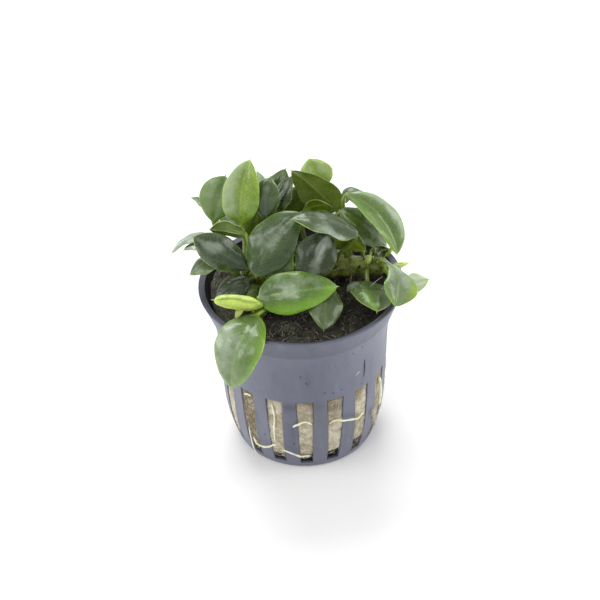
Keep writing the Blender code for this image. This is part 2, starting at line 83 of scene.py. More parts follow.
# How far from the middle things on the plug's top may be, so that they clear the pot's wall:
# crumbs, the ends and the starts of peat fibres, and moss, scales and short roots.
CRUMB_REACH, FIBRE_REACH, FIBRE_START, LITTER_REACH = 23.4, 23.3, 23.2, 22.8

# A tuft of wool at the right of the pot: angle from the front and height of both its ends.
TUFT = ((54, 15.5), (61.5, 7.5))
# Dirt on the pot's side: angle from the front, height and size of each speck.
SPECKS = ((13.0, 29.5, 0.6), (19.0, 28.8, 0.5), (25.1, 29.1, 0.6), (-2.8, 36.2, 0.6),
          (-2.2, 35.8, 0.4), (0.8, 33.7, 0.55), (1.6, 33.3, 0.4), (20.0, 38.5, 0.4),
          (32.5, 41.0, 0.6), (39.0, 42.0, 0.45), (-9.0, 11.0, 0.5), (-9.5, 17.0, 0.4),
          (41.5, 27.8, 0.4), (-31.0, 12.5, 0.4), (34.0, 9.0, 0.4), (35.0, 12.0, 0.3))
# Darker marks on the pot's side: angle, height, how far they reach each way, how dark. The
# first two are painted shadows on rib tops under the wall's step, the third is the painted
# shadow of a crease and the last is painted shade over the front; the others are darker marks.
STAINS_AND_SHADOWS = ((-11.2, 24.6, 2.2, 1.6, 0.8), (9.5, 24.5, 1.6, 1.6, 0.35), (43.6, 33, 0.4, 3, 0.6),
          (2.0, 34.0, 0.8, 3.0, 0.2), (-10, 14, 2.5, 4, 0.2), (30, 12, 2, 5, 0.15),
          (0.0, 24.0, 11.0, 22.0, 0.5))
# On the pot's side, a dark strand that is the painted shadow of a crease in the wall and a
# stuck thread: angles and heights, half thickness, shade.
THREAD_AND_CREASE_SHADOW = ((((43.7, 35.8), (43.9, 33.0), (43.5, 29.9)), 0.16, 0.0),
           (((36.5, 31.9), (38.0, 32.6), (39.9, 32.5)), 0.09, 1.0))
# Loose hairs among the leaves: points, half thickness, shade.
HAIRS = ((((8.7, 17.5, 73.9), (9.6, 17.4, 74.4), (10.6, 17.5, 72.9)), 0.07, 0.25),
         (((18.0, -9, 53.6), (18.9, -9.2, 54.9), (19.8, -9, 55.8), (21.7, -8, 56.6)), 0.05, 0.7))
# A pale scale that hangs under the rolled leaf at the left front, in the same way.
SCALE = (((-15.2, -16.6, 54.9), (-16.4, -17.8, 54.0), (-17.2, -18.4, 52.6)), 1.1, 0.8)

# Rings of points along a creeping stem and along a root, and points in each.
STEM_ROWS, STEM_COLUMNS = 90, 28
ROOT_ROWS, ROOT_COLUMNS = 48, 12

# The creeping stems: points along each, and its half thickness.
MAIN, SIDE = "rhizome", "rhizome_side_shoot"
STEMS = {
    MAIN: (((24, 5, 50.3), (16, 5.5, 50.6), (7, 4.5, 50.5), (-2, 4.5, 50.4),
            (-11, 3, 50.3), (-18, 1, 50.2)), 2.7),
    SIDE: (((-5, -1.6, 50.2), (-7.5, -5, 50.2), (-10, -9, 50.0), (-11.5, -13, 49.8)), 2.2),
}

Leaf = namedtuple("Leaf", "name stem along turn base tip face width arch fold bend belly tone",
                  defaults=(1.5, -8, 0, 0.85, "mature"))

# Each leaf as the frame has it: its name without leaf_, the stem that it grows from, how far
# along and how far round in degrees, the ends of its blade, the way its upper side faces, its
# width, the rise of its midrib, the rise of its edges in degrees, its sideways bend, where it
# is broadest (nearer to the tip above 1, to the stalk below) and its tone.
LEAVES = (
    Leaf("upright_bright", MAIN, 0.86, -20, (-15, 3, 67.5), (-12, 8, 84),
         (-0.1, -1, 0.3), 10.5, 1.0, 20, -1, tone="bright"),
    Leaf("back_left", MAIN, 0.92, -55, (-22.5, 5, 67), (-18.8, 9, 78.7),
         (0, -1, 0.3), 10, 0.5, 5, -0.5, belly=1.2),
    Leaf("far_back_left", MAIN, 0.97, -80, (-22.5, 12, 64.5), (-28.5, 14, 69),
         (-0.3, 0.35, 0.9), 8),
    Leaf("behind_bright", MAIN, 0.77, -60, (-11, 17.3, 61), (-10.5, 20.8, 72),
         (0, -0.2, 0.9), 8),
    Leaf("behind_stalks", MAIN, 0.845, -62, (-12.6, 9.4, 56.6), (-11.2, 10.9, 68.4),
         (0, -0.9, 0.3), 7.5, tone="dark"),
    Leaf("left_underside", MAIN, 0.91, 20, (-14, 0, 66.1), (-23.4, 1, 67.4),
         (0, 0.9, 0.4), 8, 0.5, 8, tone="bright"),
    Leaf("left_glossy", MAIN, 0.93, 45, (-14, -4, 58), (-27.5, -3, 68),
         (-0.2, -0.7, 0.7), 9, 1.0, belly=1.05),
    Leaf("far_left", MAIN, 0.97, -25, (-23.5, 3, 64), (-34, 2, 59.5),
         (0, 0.35, 0.94), 9, 2.0),
    Leaf("far_left_small", MAIN, 0.97, 80, (-23.5, 0, 61.5), (-30.5, -1, 62.5),
         (0, 0.3, 0.94), 7, 1.5),
    Leaf("left_low", MAIN, 0.97, 25, (-20.5, 1.5, 56.5), (-29.5, -0.5, 54),
         (-0.1, 0, 1), 8, 2.0),
    Leaf("centre_large", MAIN, 0.78, 35, (-11.5, -7, 57.5), (0.5, 1, 71.5),
         (-0.2, -0.8, 0.55), 12.5, 1.5, bend=-1.5),
    Leaf("centre_right", MAIN, 0.36, 30, (15, -2, 66.5), (-1.5, -5, 74),
         (0.2, 0, 1), 12, 2.0),
    Leaf("centre_under", MAIN, 0.42, 60, (8.7, 0.2, 63.5), (17.5, 0.5, 59.2),
         (0, 0.9, 0.45), 9, 1.5),
    Leaf("right_under", MAIN, 0.27, -45, (11, 4.5, 69), (23.5, 6.5, 56),
         (0.3, -0.5, 0.8), 9, 2.0),
    Leaf("right_large", MAIN, 0.17, -60, (12.8, 8.5, 71.8), (25.8, -1, 58.5),
         (0.45, -0.45, 0.9), 10, 2.0, 20, -2.2, belly=1.15, tone="light"),
    Leaf("back_centre_right", MAIN, 0.34, -60, (10.6, 11, 65.3), (-1.2, 13, 77),
         (0, 0.95, 0.3), 11.5, 1.0, belly=0.6),
    Leaf("back_centre_low", MAIN, 0.5, -30, (1.3, 8, 66.4), (8.8, 8, 68.6),
         (0, 0.9, 0.4), 7),
    Leaf("top_bright", MAIN, 0.4, -60, (6.6, 15.5, 69.6), (3.5, 18.5, 77),
         (0, -0.9, 0.4), 9.5, 0.5, 10, tone="bright"),
    Leaf("top_centre_dark", MAIN, 0.74, 5, (-8.5, 4, 67.5), (-7, 7, 79),
         (-0.2, -0.9, 0.4), 7.5, 1.0, bend=-0.5, belly=1.15),
    Leaf("top_centre", MAIN, 0.68, -25, (-7.5, 9, 66), (-1.5, 12.5, 75.5),
         (-0.5, -0.6, 0.6), 6.5, 1.0, bend=0.5),
    Leaf("top_back", MAIN, 0.645, -58, (-7, 16, 64.2), (-3, 19, 73.7),
         (0, -0.5, 0.8), 7),
    Leaf("shaded", MAIN, 0.58, -20, (-3.9, 13, 60.3), (1.5, 14.9, 70.5),
         (0, -0.9, 0.3), 10, 0.5, tone="dark"),
    Leaf("centre_dark", MAIN, 0.5, 20, (7.4, -3, 67.3), (0.6, -9.2, 56.2),
         (0, -0.7, 0.7), 10.8, tone="dark"),
    Leaf("front_bright", SIDE, 0.75, -10, (-11, -12.5, 54.5), (9.5, -11, 56),
         (0, -0.7, 0.7), 11.5, 2.0, belly=0.7, tone="light"),
    Leaf("front_hanging", SIDE, 0.96, 65, (-12, -17, 52), (-19, -28, 37),
         (-0.3, -0.8, 0.6), 13, 7.0, 3, bend=-0.2, belly=0.8, tone="light"),
    Leaf("left_shaded", MAIN, 0.86, 80, (-13.5, -5.6, 55.2), (-22.6, -8.9, 51.9),
         (-0.3, -0.4, 0.9), 7.5, tone="dark"),
    Leaf("left_shaded_low", SIDE, 0.4, -70, (-11.7, -6.4, 53.3), (-18, -10.1, 50.7),
         (0, -0.5, 0.8), 5.5, tone="dark"),
    Leaf("under_centre", SIDE, 0.1, -40, (-8.7, -4.2, 54.6), (-1.8, -3, 60.6),
         (0, -0.7, 0.7), 8, tone="light"),
    Leaf("front_small", MAIN, 0.52, 75, (6.5, -7.5, 54), (5.5, -20, 49),
         (0.1, -0.75, 0.65), 9.5, 1.5),
    Leaf("front_right", MAIN, 0.15, 85, (17.8, -3.8, 51.3), (19.5, -17, 52),
         (0.28, 0, 0.96), 13, 1.2, belly=0.55),
    Leaf("right_pale", MAIN, 0.05, 60, (22.1, -3, 58), (24.4, -16, 52.6),
         (0.25, -0.75, 0.65), 9.8, 1.5, 20, -2.2, belly=2.1, tone="light"),
    Leaf("far_right", MAIN, 0.03, 85, (26.6, -5.2, 52.4), (33.8, -6.2, 53.6),
         (0, -0.7, 0.7), 4.2, 0.5, -8, 0.6, belly=0.9, tone="light"),
    Leaf("right_edge_on", MAIN, 0.13, 10, (20.5, 1.5, 55.5), (24, 3, 57.5),
         (0.6, 0.6, 0.4), 4),
    Leaf("back_right", MAIN, 0.24, -95, (11.5, 15, 65), (17.5, 17, 67),
         (0, 0.2, 0.9), 8),
    Leaf("rear_left", MAIN, 0.88, -90, (-15, 14, 57), (-20, 24, 59),
         (-0.2, 0.4, 0.9), 9, 1.5),
    Leaf("rear_centre", MAIN, 0.6, -90, (-3, 15, 56), (-4.5, 26, 58),
         (0, 0.4, 0.9), 9.5, 1.5),
    Leaf("rear_right", MAIN, 0.35, -95, (8, 15, 55), (12, 26, 57),
         (0.1, 0.4, 0.9), 9, 1.5),
    Leaf("rear_far_right", MAIN, 0.08, -95, (20, 13, 54), (26, 20, 55),
         (0.3, 0.4, 0.9), 8, 1.5),
)

# Rolled young leaves: name, stem, along, turn, base, tip, half thickness, flatness.
SHOOTS = (
    ("young_rolled", SIDE, 0.95, -60, (-11, -15.5, 54.2), (-22.6, -17, 57.7), 2.2, 0.8),
    ("spear_right", MAIN, 0.02, 20, (24.5, -0.5, 54), (29, -1, 55.5), 0.85, 1.0),
    ("stub", MAIN, 0.16, 25, (18, 1.5, 54), (19, 1.5, 57), 0.8, 0.8),
    ("spear_back", MAIN, 0.05, -35, (24, 5.5, 54), (26, 6, 57.5), 0.8, 0.8),
)

# Roots over the slots: half thickness, then angle from the front, height, distance out.
ROOTS = {
    "root_front": (0.4, ((-9, 18.4, 0.8), (-7, 19.1, 0.8), (-5, 19.4, 0.7), (-2.5, 19.6, 0.1),
                         (0, 19.5, -0.4), (2.2, 19.0, -0.6), (4, 18.4, -0.6))),
    "root_front_right": (0.45, ((15.9, 17.7, -0.6), (19, 18.4, -0.6), (22.5, 18.6, 0.3),
                                (25.5, 18.4, 0.95), (31, 17.7, 0.95), (36.5, 16.9, 0.9),
                                (40, 16.5, 0.3), (43, 16.2, -0.5), (45.3, 16.3, -0.6))),
    "root_left_upright": (0.4, ((-23.5, 25, -0.6), (-22, 20.5, -0.5), (-23, 15.5, -0.5),
                                (-23.5, 10.5, -0.6))),
    "root_left_high": (0.4, ((-46, 24.6, -0.6), (-43, 25.2, -0.4), (-39.5, 25.3, -0.6))),
    "root_left_low": (0.45, ((-43, 8.8, -0.6), (-40, 8.3, 0.3), (-37.5, 8, 0.9),
                             (-32, 8, 0.95), (-27.5, 8.8, 0.9), (-24.5, 9.3, 0.1),
                             (-22.5, 9.3, -0.6))),
    "root_left_hair": (0.3, ((-45.5, 12.5, -0.5), (-44.5, 8, 0.3), (-43, 3.7, 0.9),
                             (-40, 1.2, 0.9))),
    "root_front_low": (0.4, ((-17.5, 8.8, 0.8), (-11, 7.6, 0.8), (-5.5, 6.5, 0.8),
                             (-3, 6, 0.4), (0, 5.6, -0.1), (2.6, 5.4, -0.5))),
    "root_right": (0.6, ((62.5, 24.5, 0.1), (62.5, 21.5, 0.55), (62.5, 18, 0.7),
                         (63, 14, 0.4))),
}


def paint(code):
    """A colour written as #rrggbb, as the linear colour that a shader takes."""
    parts = [int(code[i:i + 2], 16) / 255 for i in (1, 3, 5)]
    return tuple(c / 12.92 if c <= 0.04045 else ((c + 0.055) / 1.055) ** 2.4 for c in parts)


def catmull(points, t):
    """A point on the smooth curve through the given points, t from 0 to 1."""
    pts = [Vector(p) for p in points]
    pts = [pts[0] * 2 - pts[1]] + pts + [pts[-1] * 2 - pts[-2]]
    spans = len(pts) - 3
    x = min(max(t, 0.0), 1.0) * spans
    i = min(int(x), spans - 1)
    f = x - i
    a, b, c, d = pts[i:i + 4]
    return 0.5 * ((b * 2) + (c - a) * f + (a * 2 - b * 5 + c * 4 - d) * f ** 2
                  + (b * 3 - a - c * 3 + d) * f ** 3)


def smooth(low, high, x):
    """0 below low, 1 above high and a smooth rise between them."""
    x = min(max((x - low) / (high - low), 0.0), 1.0)
    return x * x * (3 - 2 * x)


def ripple(point, scale, seed=0.0):
    """Smooth noise from -1 to 1 at a point in mm; scale is the size of its features in mm."""
    x, y, z = point
    return noise.noise(Vector((x / scale + seed, y / scale - seed * 0.7, z / scale + seed * 1.3)))


def around(angle, r, z=0.0):
    """The place at an angle from the front, a distance from the middle and a height."""
    return (r * math.sin(angle), -r * math.cos(angle), z)


def outwards(side, up, angle, flat=1.0):
    """The way out from the middle of a stem at an angle round it."""
    return side * math.cos(angle) + up * math.sin(angle) * flat


def fade(a, b):
    """1 at the middle of a soft patch, less and less towards and past 1 unit from it."""
    return math.exp(-a ** 2 - b ** 2)


# Mesh helpers

def clear_selection():
    """Leave edit mode and deselect everything."""
    if bpy.context.object and bpy.context.object.mode != "OBJECT":
        bpy.ops.object.mode_set(mode="OBJECT")
    bpy.ops.object.select_all(action="DESELECT")


def make_active(piece):
    """Select one piece alone."""
    clear_selection()
    piece.select_set(True)
    bpy.context.view_layer.objects.active = piece


def read_places(piece):
    """Where a piece's vertices are, in metres."""
    places = np.zeros(len(piece.data.vertices) * 3)
    piece.data.vertices.foreach_get("co", places)
    return places.reshape(-1, 3)


def set_places(piece, places):
    """Put a piece's vertices at places in mm."""
    piece.data.vertices.foreach_set("co", (np.asarray(places) * MM).ravel())


def flat_grid(name, columns, rows):
    """A flat grid of faces with a UV map, and the place in it of each of its vertices."""
    clear_selection()
    bpy.ops.mesh.primitive_grid_add(x_subdivisions=columns, y_subdivisions=rows, size=2,
                                    calc_uvs=True)
    piece = bpy.context.object
    piece.name = piece.data.name = name
    places = read_places(piece)
    column = np.rint((places[:, 0] + 1) / 2 * columns).astype(int)
    row = np.rint((places[:, 1] + 1) / 2 * rows).astype(int)
    return piece, row, column


def give_attribute(piece, name, values, colour=False):
    """Keep a number or a colour for each vertex, for the materials."""
    kind = "FLOAT_COLOR" if colour else "FLOAT"
    layer = piece.data.attributes.new(name, kind, "POINT")
    layer.data.foreach_set("color" if colour else "value", np.asarray(values, float).ravel())


def select_faces(piece, test):
    """Go into edit mode with only the faces selected that pass a test."""
    bpy.ops.object.mode_set(mode="EDIT")
    bpy.ops.mesh.select_mode(type="FACE")
    bpy.ops.mesh.select_all(action="DESELECT")
    bpy.ops.object.mode_set(mode="OBJECT")
    for polygon in piece.data.polygons:
        polygon.select = bool(test(polygon))
    bpy.ops.object.mode_set(mode="EDIT")


def closed_rows(rows):
    """Rows of values round a piece, each with its first value again at its end."""
    rows = np.asarray(rows, float)
    return np.concatenate([rows, rows[:, :1]], 1)


def rolled_piece(name, rings, fields=None):
    """A closed body through rings of points in mm; fields are values for the same points."""
    rings = closed_rows(rings)
    piece, row, column = flat_grid(name, rings.shape[1] - 1, rings.shape[0] - 1)
    set_places(piece, rings[row, column])
    for key, values in (fields or {}).items():
        values = closed_rows(values)
        give_attribute(piece, key, values[row, column], colour=values.ndim == 3)
    bpy.ops.object.mode_set(mode="EDIT")
    bpy.ops.mesh.select_all(action="SELECT")
    bpy.ops.mesh.remove_doubles(threshold=MERGE)
    bpy.ops.mesh.select_all(action="SELECT")
    bpy.ops.mesh.fill_holes(sides=0)
    bpy.ops.mesh.select_all(action="SELECT")
    bpy.ops.mesh.normals_make_consistent(inside=False)
    bpy.ops.object.mode_set(mode="OBJECT")
    bpy.ops.object.shade_smooth()
    return piece


def apply_modifier(piece, kind, **values):
    """Add a modifier, set it and apply it."""
    make_active(piece)
    modifier = piece.modifiers.new(kind.title(), kind)
    for key, value in values.items():
        setattr(modifier, key, value)
    bpy.ops.object.modifier_apply(modifier=modifier.name)


def repeated(piece, count):
    """Repeat a small piece inside its own mesh; gives the vertices' places in mm, by copy."""
    apply_modifier(piece, "ARRAY", count=count, use_relative_offset=False)
    return read_places(piece).reshape(count, -1, 3) / MM


def frames_along(centres):
    """Direction, side and upper vectors along a line of points, without sudden turns."""
    frames = []
    side = None
    last = len(centres) - 1
    for n in range(len(centres)):
        ahead = (centres[min(n + 1, last)] - centres[max(n - 1, 0)]).normalized()
        if side is None:
            side = ahead.cross(Vector((0, 0, 1)))
            if side.length < 0.1:
                side = ahead.cross(Vector((0, 1, 0)))
        side = (side - ahead * side.dot(ahead)).normalized()
        frames.append((ahead, side, side.cross(ahead)))
    return frames


def along_curve(points, rows):
    """Place along it from 0 to 1, centre, side and upper vector of each ring of a stem."""
    places = [n / rows for n in range(rows + 1)]
    centres = [catmull(points, t) for t in places]
    return [(t, centre, side, up)
            for t, centre, (_, side, up) in zip(places, centres, frames_along(centres))]


def strand_piece(name, strands, sides=3, steps=6, flat=1.0):
    """Many thin tapered strands in one mesh; a strand is (points, half thickness, shade)."""
    one = [[(math.cos(FULL_TURN * k / sides), math.sin(FULL_TURN * k / sides), row)
            for k in range(sides)] for row in range(steps + 1)]
    piece = rolled_piece(name, one)
    base = repeated(piece, len(strands))[0]
    row = np.rint(base[:, 2]).astype(int)
    turn = np.arctan2(base[:, 1], base[:, 0])
    places = []
    for points, radius, _ in strands:
        rings = along_curve(points, steps)
        for n, angle in zip(row, turn):
            _, centre, side, up = rings[n]
            # Thin at both ends, thinner at the far one.
            r = radius * (0.15 + 0.85 * math.sin(math.pi * (0.12 + 0.8 * n / steps)))
            places.append(centre + outwards(side, up, angle, flat) * r)
    set_places(piece, places)
    give_attribute(piece, "shade", np.repeat([shade for _, _, shade in strands], len(base)))
    return piece


def crumb_piece(name, crumbs, seed):
    """Many small rough crumbs in one mesh; a crumb is (place, size, shade)."""
    clear_selection()
    bpy.ops.mesh.primitive_ico_sphere_add(subdivisions=1, radius=MM)
    piece = bpy.context.object
    piece.name = piece.data.name = name
    shapes = repeated(piece, len(crumbs))
    rng = np.random.default_rng(seed)
    squash = rng.uniform(0.55, 1.0, (len(crumbs), 1, 3))
    dents = rng.uniform(0.7, 1.15, shapes.shape[:2] + (1,))
    turns = [Matrix(Quaternion(rng.normal(size=4)).normalized().to_matrix()) for _ in crumbs]
    shapes = np.einsum("nij,nvj->nvi", np.array(turns), shapes * dents * squash)
    centres, sizes, shades = zip(*crumbs)
    halves = (np.array(sizes) / 2).reshape(-1, 1, 1)
    set_places(piece, shapes * halves + np.array(centres).reshape(-1, 1, 3))
    give_attribute(piece, "shade", np.repeat(shades, shapes.shape[1]))
    return piece


def finish_piece(piece, mat, slot, *nodes):
    """Give a piece its material and its body, and hide the model's parts that it stands for. The
    slot is not used.
    """
    piece.data.materials.clear()
    piece.data.materials.append(mat)
    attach(piece, BODY)
    if nodes:
        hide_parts(*nodes)
    return piece


# Node helpers

class Nodes:
    """Short ways to add and join the nodes of one material."""

    def __init__(self, name):
        self.mat = bpy.data.materials.new(name)
        self.mat.use_nodes = True
        self.tree = self.mat.node_tree
        self.shader = self.tree.nodes["Principled BSDF"]

    def add(self, kind, **values):
        """A new node with its settings."""
        node = self.tree.nodes.new(kind)
        for key, value in values.items():
            setattr(node, key, value)
        return node

    def put(self, socket, value):
        """Join an output to a socket, or set the socket to a value."""
        if isinstance(value, bpy.types.NodeSocket):
            self.tree.links.new(value, socket)
        elif isinstance(value, tuple) and len(value) == 3 and socket.type == "RGBA":
            socket.default_value = (*value, 1.0)
        else:
            socket.default_value = value

    def attribute(self, name, colour=False):
        """What a piece keeps for each vertex under a name."""
        node = self.add("ShaderNodeAttribute", attribute_name=name)
        return node.outputs["Color" if colour else "Fac"]

    def coords(self, scale=(1, 1, 1)):
        """The place on the piece, scaled."""
        mapping = self.add("ShaderNodeMapping")
        self.put(mapping.inputs["Vector"], self.add("ShaderNodeTexCoord").outputs["Object"])
        mapping.inputs["Scale"].default_value = scale
        return mapping.outputs["Vector"]

    def axis(self, index):
        """The place on the piece along x, y or z, in metres."""
        node = self.add("ShaderNodeSeparateXYZ")
        self.put(node.inputs[0], self.coords())
        return node.outputs[index]

    def noise(self, size, detail=3.0, rough=0.55, stretch=(1, 1, 1), warp=0.0):
        """Cloudy noise with features of a size in mm."""
        node = self.add("ShaderNodeTexNoise")
        self.put(node.inputs["Vector"], self.coords(stretch))
        node.inputs["Scale"].default_value = 1000.0 / size
        node.inputs["Detail"].default_value = detail
        node.inputs["Roughness"].default_value = rough
        node.inputs["Distortion"].default_value = warp
        return node.outputs["Fac"]

    def dots(self, size):
        """How far it is to the nearest of many scattered dots, a size in mm apart."""
        node = self.add("ShaderNodeTexVoronoi", feature="F1")
        self.put(node.inputs["Vector"], self.coords())
        node.inputs["Scale"].default_value = 1000.0 / size
        return node.outputs["Distance"]

    def math(self, operation, a, b=0.0):
        """A calculation with two numbers."""
        node = self.add("ShaderNodeMath", operation=operation)
        self.put(node.inputs[0], a)
        self.put(node.inputs[1], b)
        return node.outputs[0]

    def plus(self, a, b, share):
        """a with a share of b added."""
        return self.math("ADD", a, self.math("MULTIPLY", b, share))

    def ramp(self, value, low, high, start=0.0, end=1.0):
        """From start to end, smoothly, while a value goes from low to high."""
        node = self.add("ShaderNodeMapRange", interpolation_type="SMOOTHSTEP")
        for socket, given in zip(node.inputs, (value, low, high, start, end)):
            self.put(socket, given)
        return node.outputs[0]

    def mix(self, share, a, b, blend="MIX"):
        """Colour a with a share of colour b over it."""
        node = self.add("ShaderNodeMix", data_type="RGBA", blend_type=blend)
        self.put(node.inputs[0], share)
        self.put(node.inputs[6], a)
        self.put(node.inputs[7], b)
        return node.outputs[2]

    def times(self, colour, factors):
        """A colour, darker or lighter by a factor for red, green and blue."""
        return self.mix(1.0, colour, factors, "MULTIPLY")

    def layers(self, skin, *layers):
        """Lay colours over a skin in order. Each layer is a colour, or a list of factors for
        the colour under it, then the value that it follows and the limits of its ramp."""
        for colour, value, *limits in layers:
            if isinstance(colour, list):
                colour = self.times(skin, tuple(colour))
            skin = self.mix(self.ramp(value, *limits), skin, colour)
        return skin

    def bump(self, height, depth, strength):
        """A relief in the skin, its depth in mm."""
        node = self.add("ShaderNodeBump")
        node.inputs["Strength"].default_value = strength
        node.inputs["Distance"].default_value = depth * MM
        self.put(node.inputs["Height"], height)
        self.put(self.shader.inputs["Normal"], node.outputs["Normal"])

    def set(self, **values):
        """Set or join the shader's sockets, and give the material."""
        for key, value in values.items():
            self.put(self.shader.inputs[key.replace("_", " ")], value)
        return self.mat


# Materials

def leaf_material(name, tone, gloss):
    """Leaf skin: pale margin and midrib, faint side veins, paler underside, soft gloss, with
    painted light in patches: silvery painted reflections and deeper painted shade.
    """
    n = Nodes(name)
    margin, midrib, painted_light = (n.attribute(key) for key in ("margin", "midrib", "painted_light"))
    tint = n.attribute("tint", colour=True)
    patches = n.noise(4.5, detail=4.0, rough=0.6)
    blotches = n.noise(1.6, detail=3.0, rough=0.6)
    grain = n.noise(0.5, detail=2.0)
    clouds = n.noise(3.0, detail=3.0, rough=0.5, warp=0.5)
    painted_light_mask = n.plus(painted_light, n.math("SUBTRACT", clouds, 0.5), 1.1)
    painted_reflection = n.mix(0.25, paint("#bcc8b8"), tint)
    vein = n.math("PINGPONG", n.attribute("vein"), 0.5)
    lines = n.ramp(vein, 0.0, 0.11, 1.0, 0.0)
    off_margin = n.ramp(margin, 0.3, 1.4)
    skin = n.layers(tint,
                    (n.times(tint, (0.72, 0.8, 0.7)), patches, 0.35, 0.7),
                    (n.times(tint, (1.5, 1.35, 1.1)), blotches, 0.5, 0.68, 0.0, 0.35),
                    (tone["vein"], grain, 0.3, 0.8, 0.0, 0.25),
                    # Brighter green beside the margin: partly the leaf's own, partly painted
                    # light let through.
                    (tone["edge"], n.plus(margin, patches, 1.5), 0.6, 2.6, tone["glow"], 0.0),
                    # Painted shade where the painted light is below 0, then silvery painted
                    # reflections where it is above 0.
                    ([0.5, 0.6, 0.4], n.plus(painted_light, painted_light_mask, 0.25), -0.9, 0.0, 0.75, 0.0),
                    (painted_reflection, painted_light_mask, 0.15, 0.9, 0.0, 0.58))
    skin = n.mix(n.math("MULTIPLY", n.math("MULTIPLY", lines, off_margin), tone["veins"]),
                 skin, tone["vein"])
    skin = n.layers(skin, (tone["vein"], midrib, 0.12, 0.5, tone["rib"], 0.0))
    below = n.layers(tint,
                     (n.times(tint, (0.75, 0.8, 0.7)), patches, 0.3, 0.75),
                     # Painted reflection on the underside as well.
                     (painted_reflection, painted_light_mask, 0.3, 1.0, 0.0, 0.45),
                     (tone["margin"], midrib, 0.1, 0.4, 0.5, 0.0))
    stalk = n.layers(tone["stalk"], ([0.8, 0.75, 0.6], patches, 0.3, 0.7))
    skin = n.layers(skin,
                    (below, n.attribute("under"), 0.4, 0.6),
                    (tone["margin"], n.plus(margin, patches, 0.5), 0.2, 0.46, 0.85, 0.0))
    skin = n.mix(n.attribute("stalk"), skin, stalk)
    relief = n.plus(n.math("MULTIPLY", lines, -0.3), grain, 0.12)
    n.bump(n.plus(relief, n.noise(2.0, detail=3.0), 2.2), 0.1, 0.85)
    rough = n.ramp(n.noise(2.5, detail=3.0), 0.3, 0.75, gloss - 0.08, gloss + 0.12)
    return n.set(Base_Color=skin, Roughness=rough, IOR=1.45, Coat_Weight=tone["coat"],
                 Coat_Roughness=0.12, Subsurface_Weight=tone["through"],
                 Subsurface_Radius=(0.8, 1.0, 0.3), Subsurface_Scale=0.0005)


def pot_material(colour):
    """Grey-violet moulded plastic: satin, faintly streaked, duller and dustier in places. Painted
    shade darkens the inside, most near the floor, and a few painted shadows lie on its side.
    """
    n = Nodes("pot_plastic")
    streaks = n.noise(3.0, detail=4.0, stretch=(1, 1, 0.18))
    clouds = n.noise(14.0, detail=3.0)
    smudges = n.noise(5.0, detail=5.0, rough=0.65, stretch=(1, 1, 0.45), warp=0.5)
    skin = n.layers(colour,
                    ([1.12, 1.1, 1.02], clouds, 0.35, 0.65),
                    (paint("#5c5f73"), streaks, 0.52, 0.75, 0.0, 0.3),
                    ([0.72, 0.72, 0.76], smudges, 0.5, 0.72, 0.0, 0.55),
                    (paint("#868a9c"), smudges, 0.28, 0.44, 0.4, 0.0),
                    (paint("#34332f"), n.dots(1.3), 0.03, 0.09, 0.35, 0.0))
    # Darker marks and painted shadows on the side, then the darker rim band.
    for mark, factors in (("stain_and_shadow", (0.5, 0.5, 0.55)), ("band", (0.74, 0.75, 0.77))):
        skin = n.mix(n.attribute(mark), skin, n.times(skin, factors))
    # Painted shade: the inside of the pot is nearly black, blacker towards the floor.
    dark = n.layers(paint("#2b2b2d"), (paint("#3a3a3e"), clouds, 0.3, 0.7))
    dark = n.layers(paint("#101011"), (dark, n.axis(2), 0.006, 0.03))
    skin = n.mix(n.attribute("inside"), skin, dark)
    n.bump(n.plus(n.noise(0.3, detail=2.0), streaks, 0.6), 0.02, 0.5)
    return n.set(Base_Color=skin, Roughness=n.ramp(clouds, 0.3, 0.7, 0.36, 0.5), IOR=1.5)


def wool_material(colour, peat):
    """Damp rock wool: tan fibre with brown and green stains, nearly black peat on top."""
    n = Nodes("rock_wool")
    strands = n.noise(1.1, detail=6.0, rough=0.75, warp=0.6)
    stains = n.noise(6.0, detail=4.0, rough=0.6)
    spots = n.noise(2.2, detail=3.0)
    pale = n.noise(3.2, detail=4.0, rough=0.7, warp=0.4)
    wool = n.layers(n.times(colour, (0.7, 0.66, 0.58)),
                    (n.times(colour, (1.15, 1.15, 1.12)), strands, 0.3, 0.72),
                    (paint("#8c7a5c"), stains, 0.46, 0.62, 0.0, 0.6),
                    (paint("#94916a"), spots, 0.52, 0.64, 0.0, 0.55),
                    (paint("#e6e1d0"), pale, 0.55, 0.68, 0.0, 0.45),
                    (paint("#5f553e"), n.dots(0.8), 0.05, 0.2, 0.5, 0.0))
    dirty = n.math("MULTIPLY", n.attribute("high"), n.ramp(spots, 0.25, 0.55, 0.35, 1.0))
    wool = n.mix(n.math("MULTIPLY", dirty, 0.85), wool, paint("#73674e"))
    soil = n.layers(peat,
                    ([2.4, 2.2, 1.9], strands, 0.35, 0.7),
                    (paint("#2c3018"), stains, 0.55, 0.72, 0.0, 0.6))
    to_the_left = n.math("MULTIPLY", n.axis(0), -1.0)
    dusty = n.math("MULTIPLY", n.ramp(to_the_left, 0.013, 0.022, 0.0, 0.6),
                   n.ramp(strands, 0.3, 0.6))
    soil = n.mix(dusty, soil, paint("#77766a"))
    n.bump(n.plus(strands, n.noise(0.4, detail=3.0), 0.5), 0.35, 0.9)
    return n.set(Base_Color=n.mix(n.attribute("top"), wool, soil),
                 Roughness=n.ramp(spots, 0.3, 0.7, 0.95, 0.7))


def plain_material(name, base, second, size, rough, depth):
    """Two tones mixed in patches of a given size in mm, with a matching relief."""
    n = Nodes(name)
    patches = n.noise(size, detail=4.0, rough=0.6)
    n.bump(patches, depth, 0.7)
    return n.set(Base_Color=n.layers(paint(base), (paint(second), patches, 0.35, 0.68)),
                 Roughness=n.ramp(patches, 0.3, 0.7, rough + 0.08, rough - 0.08))


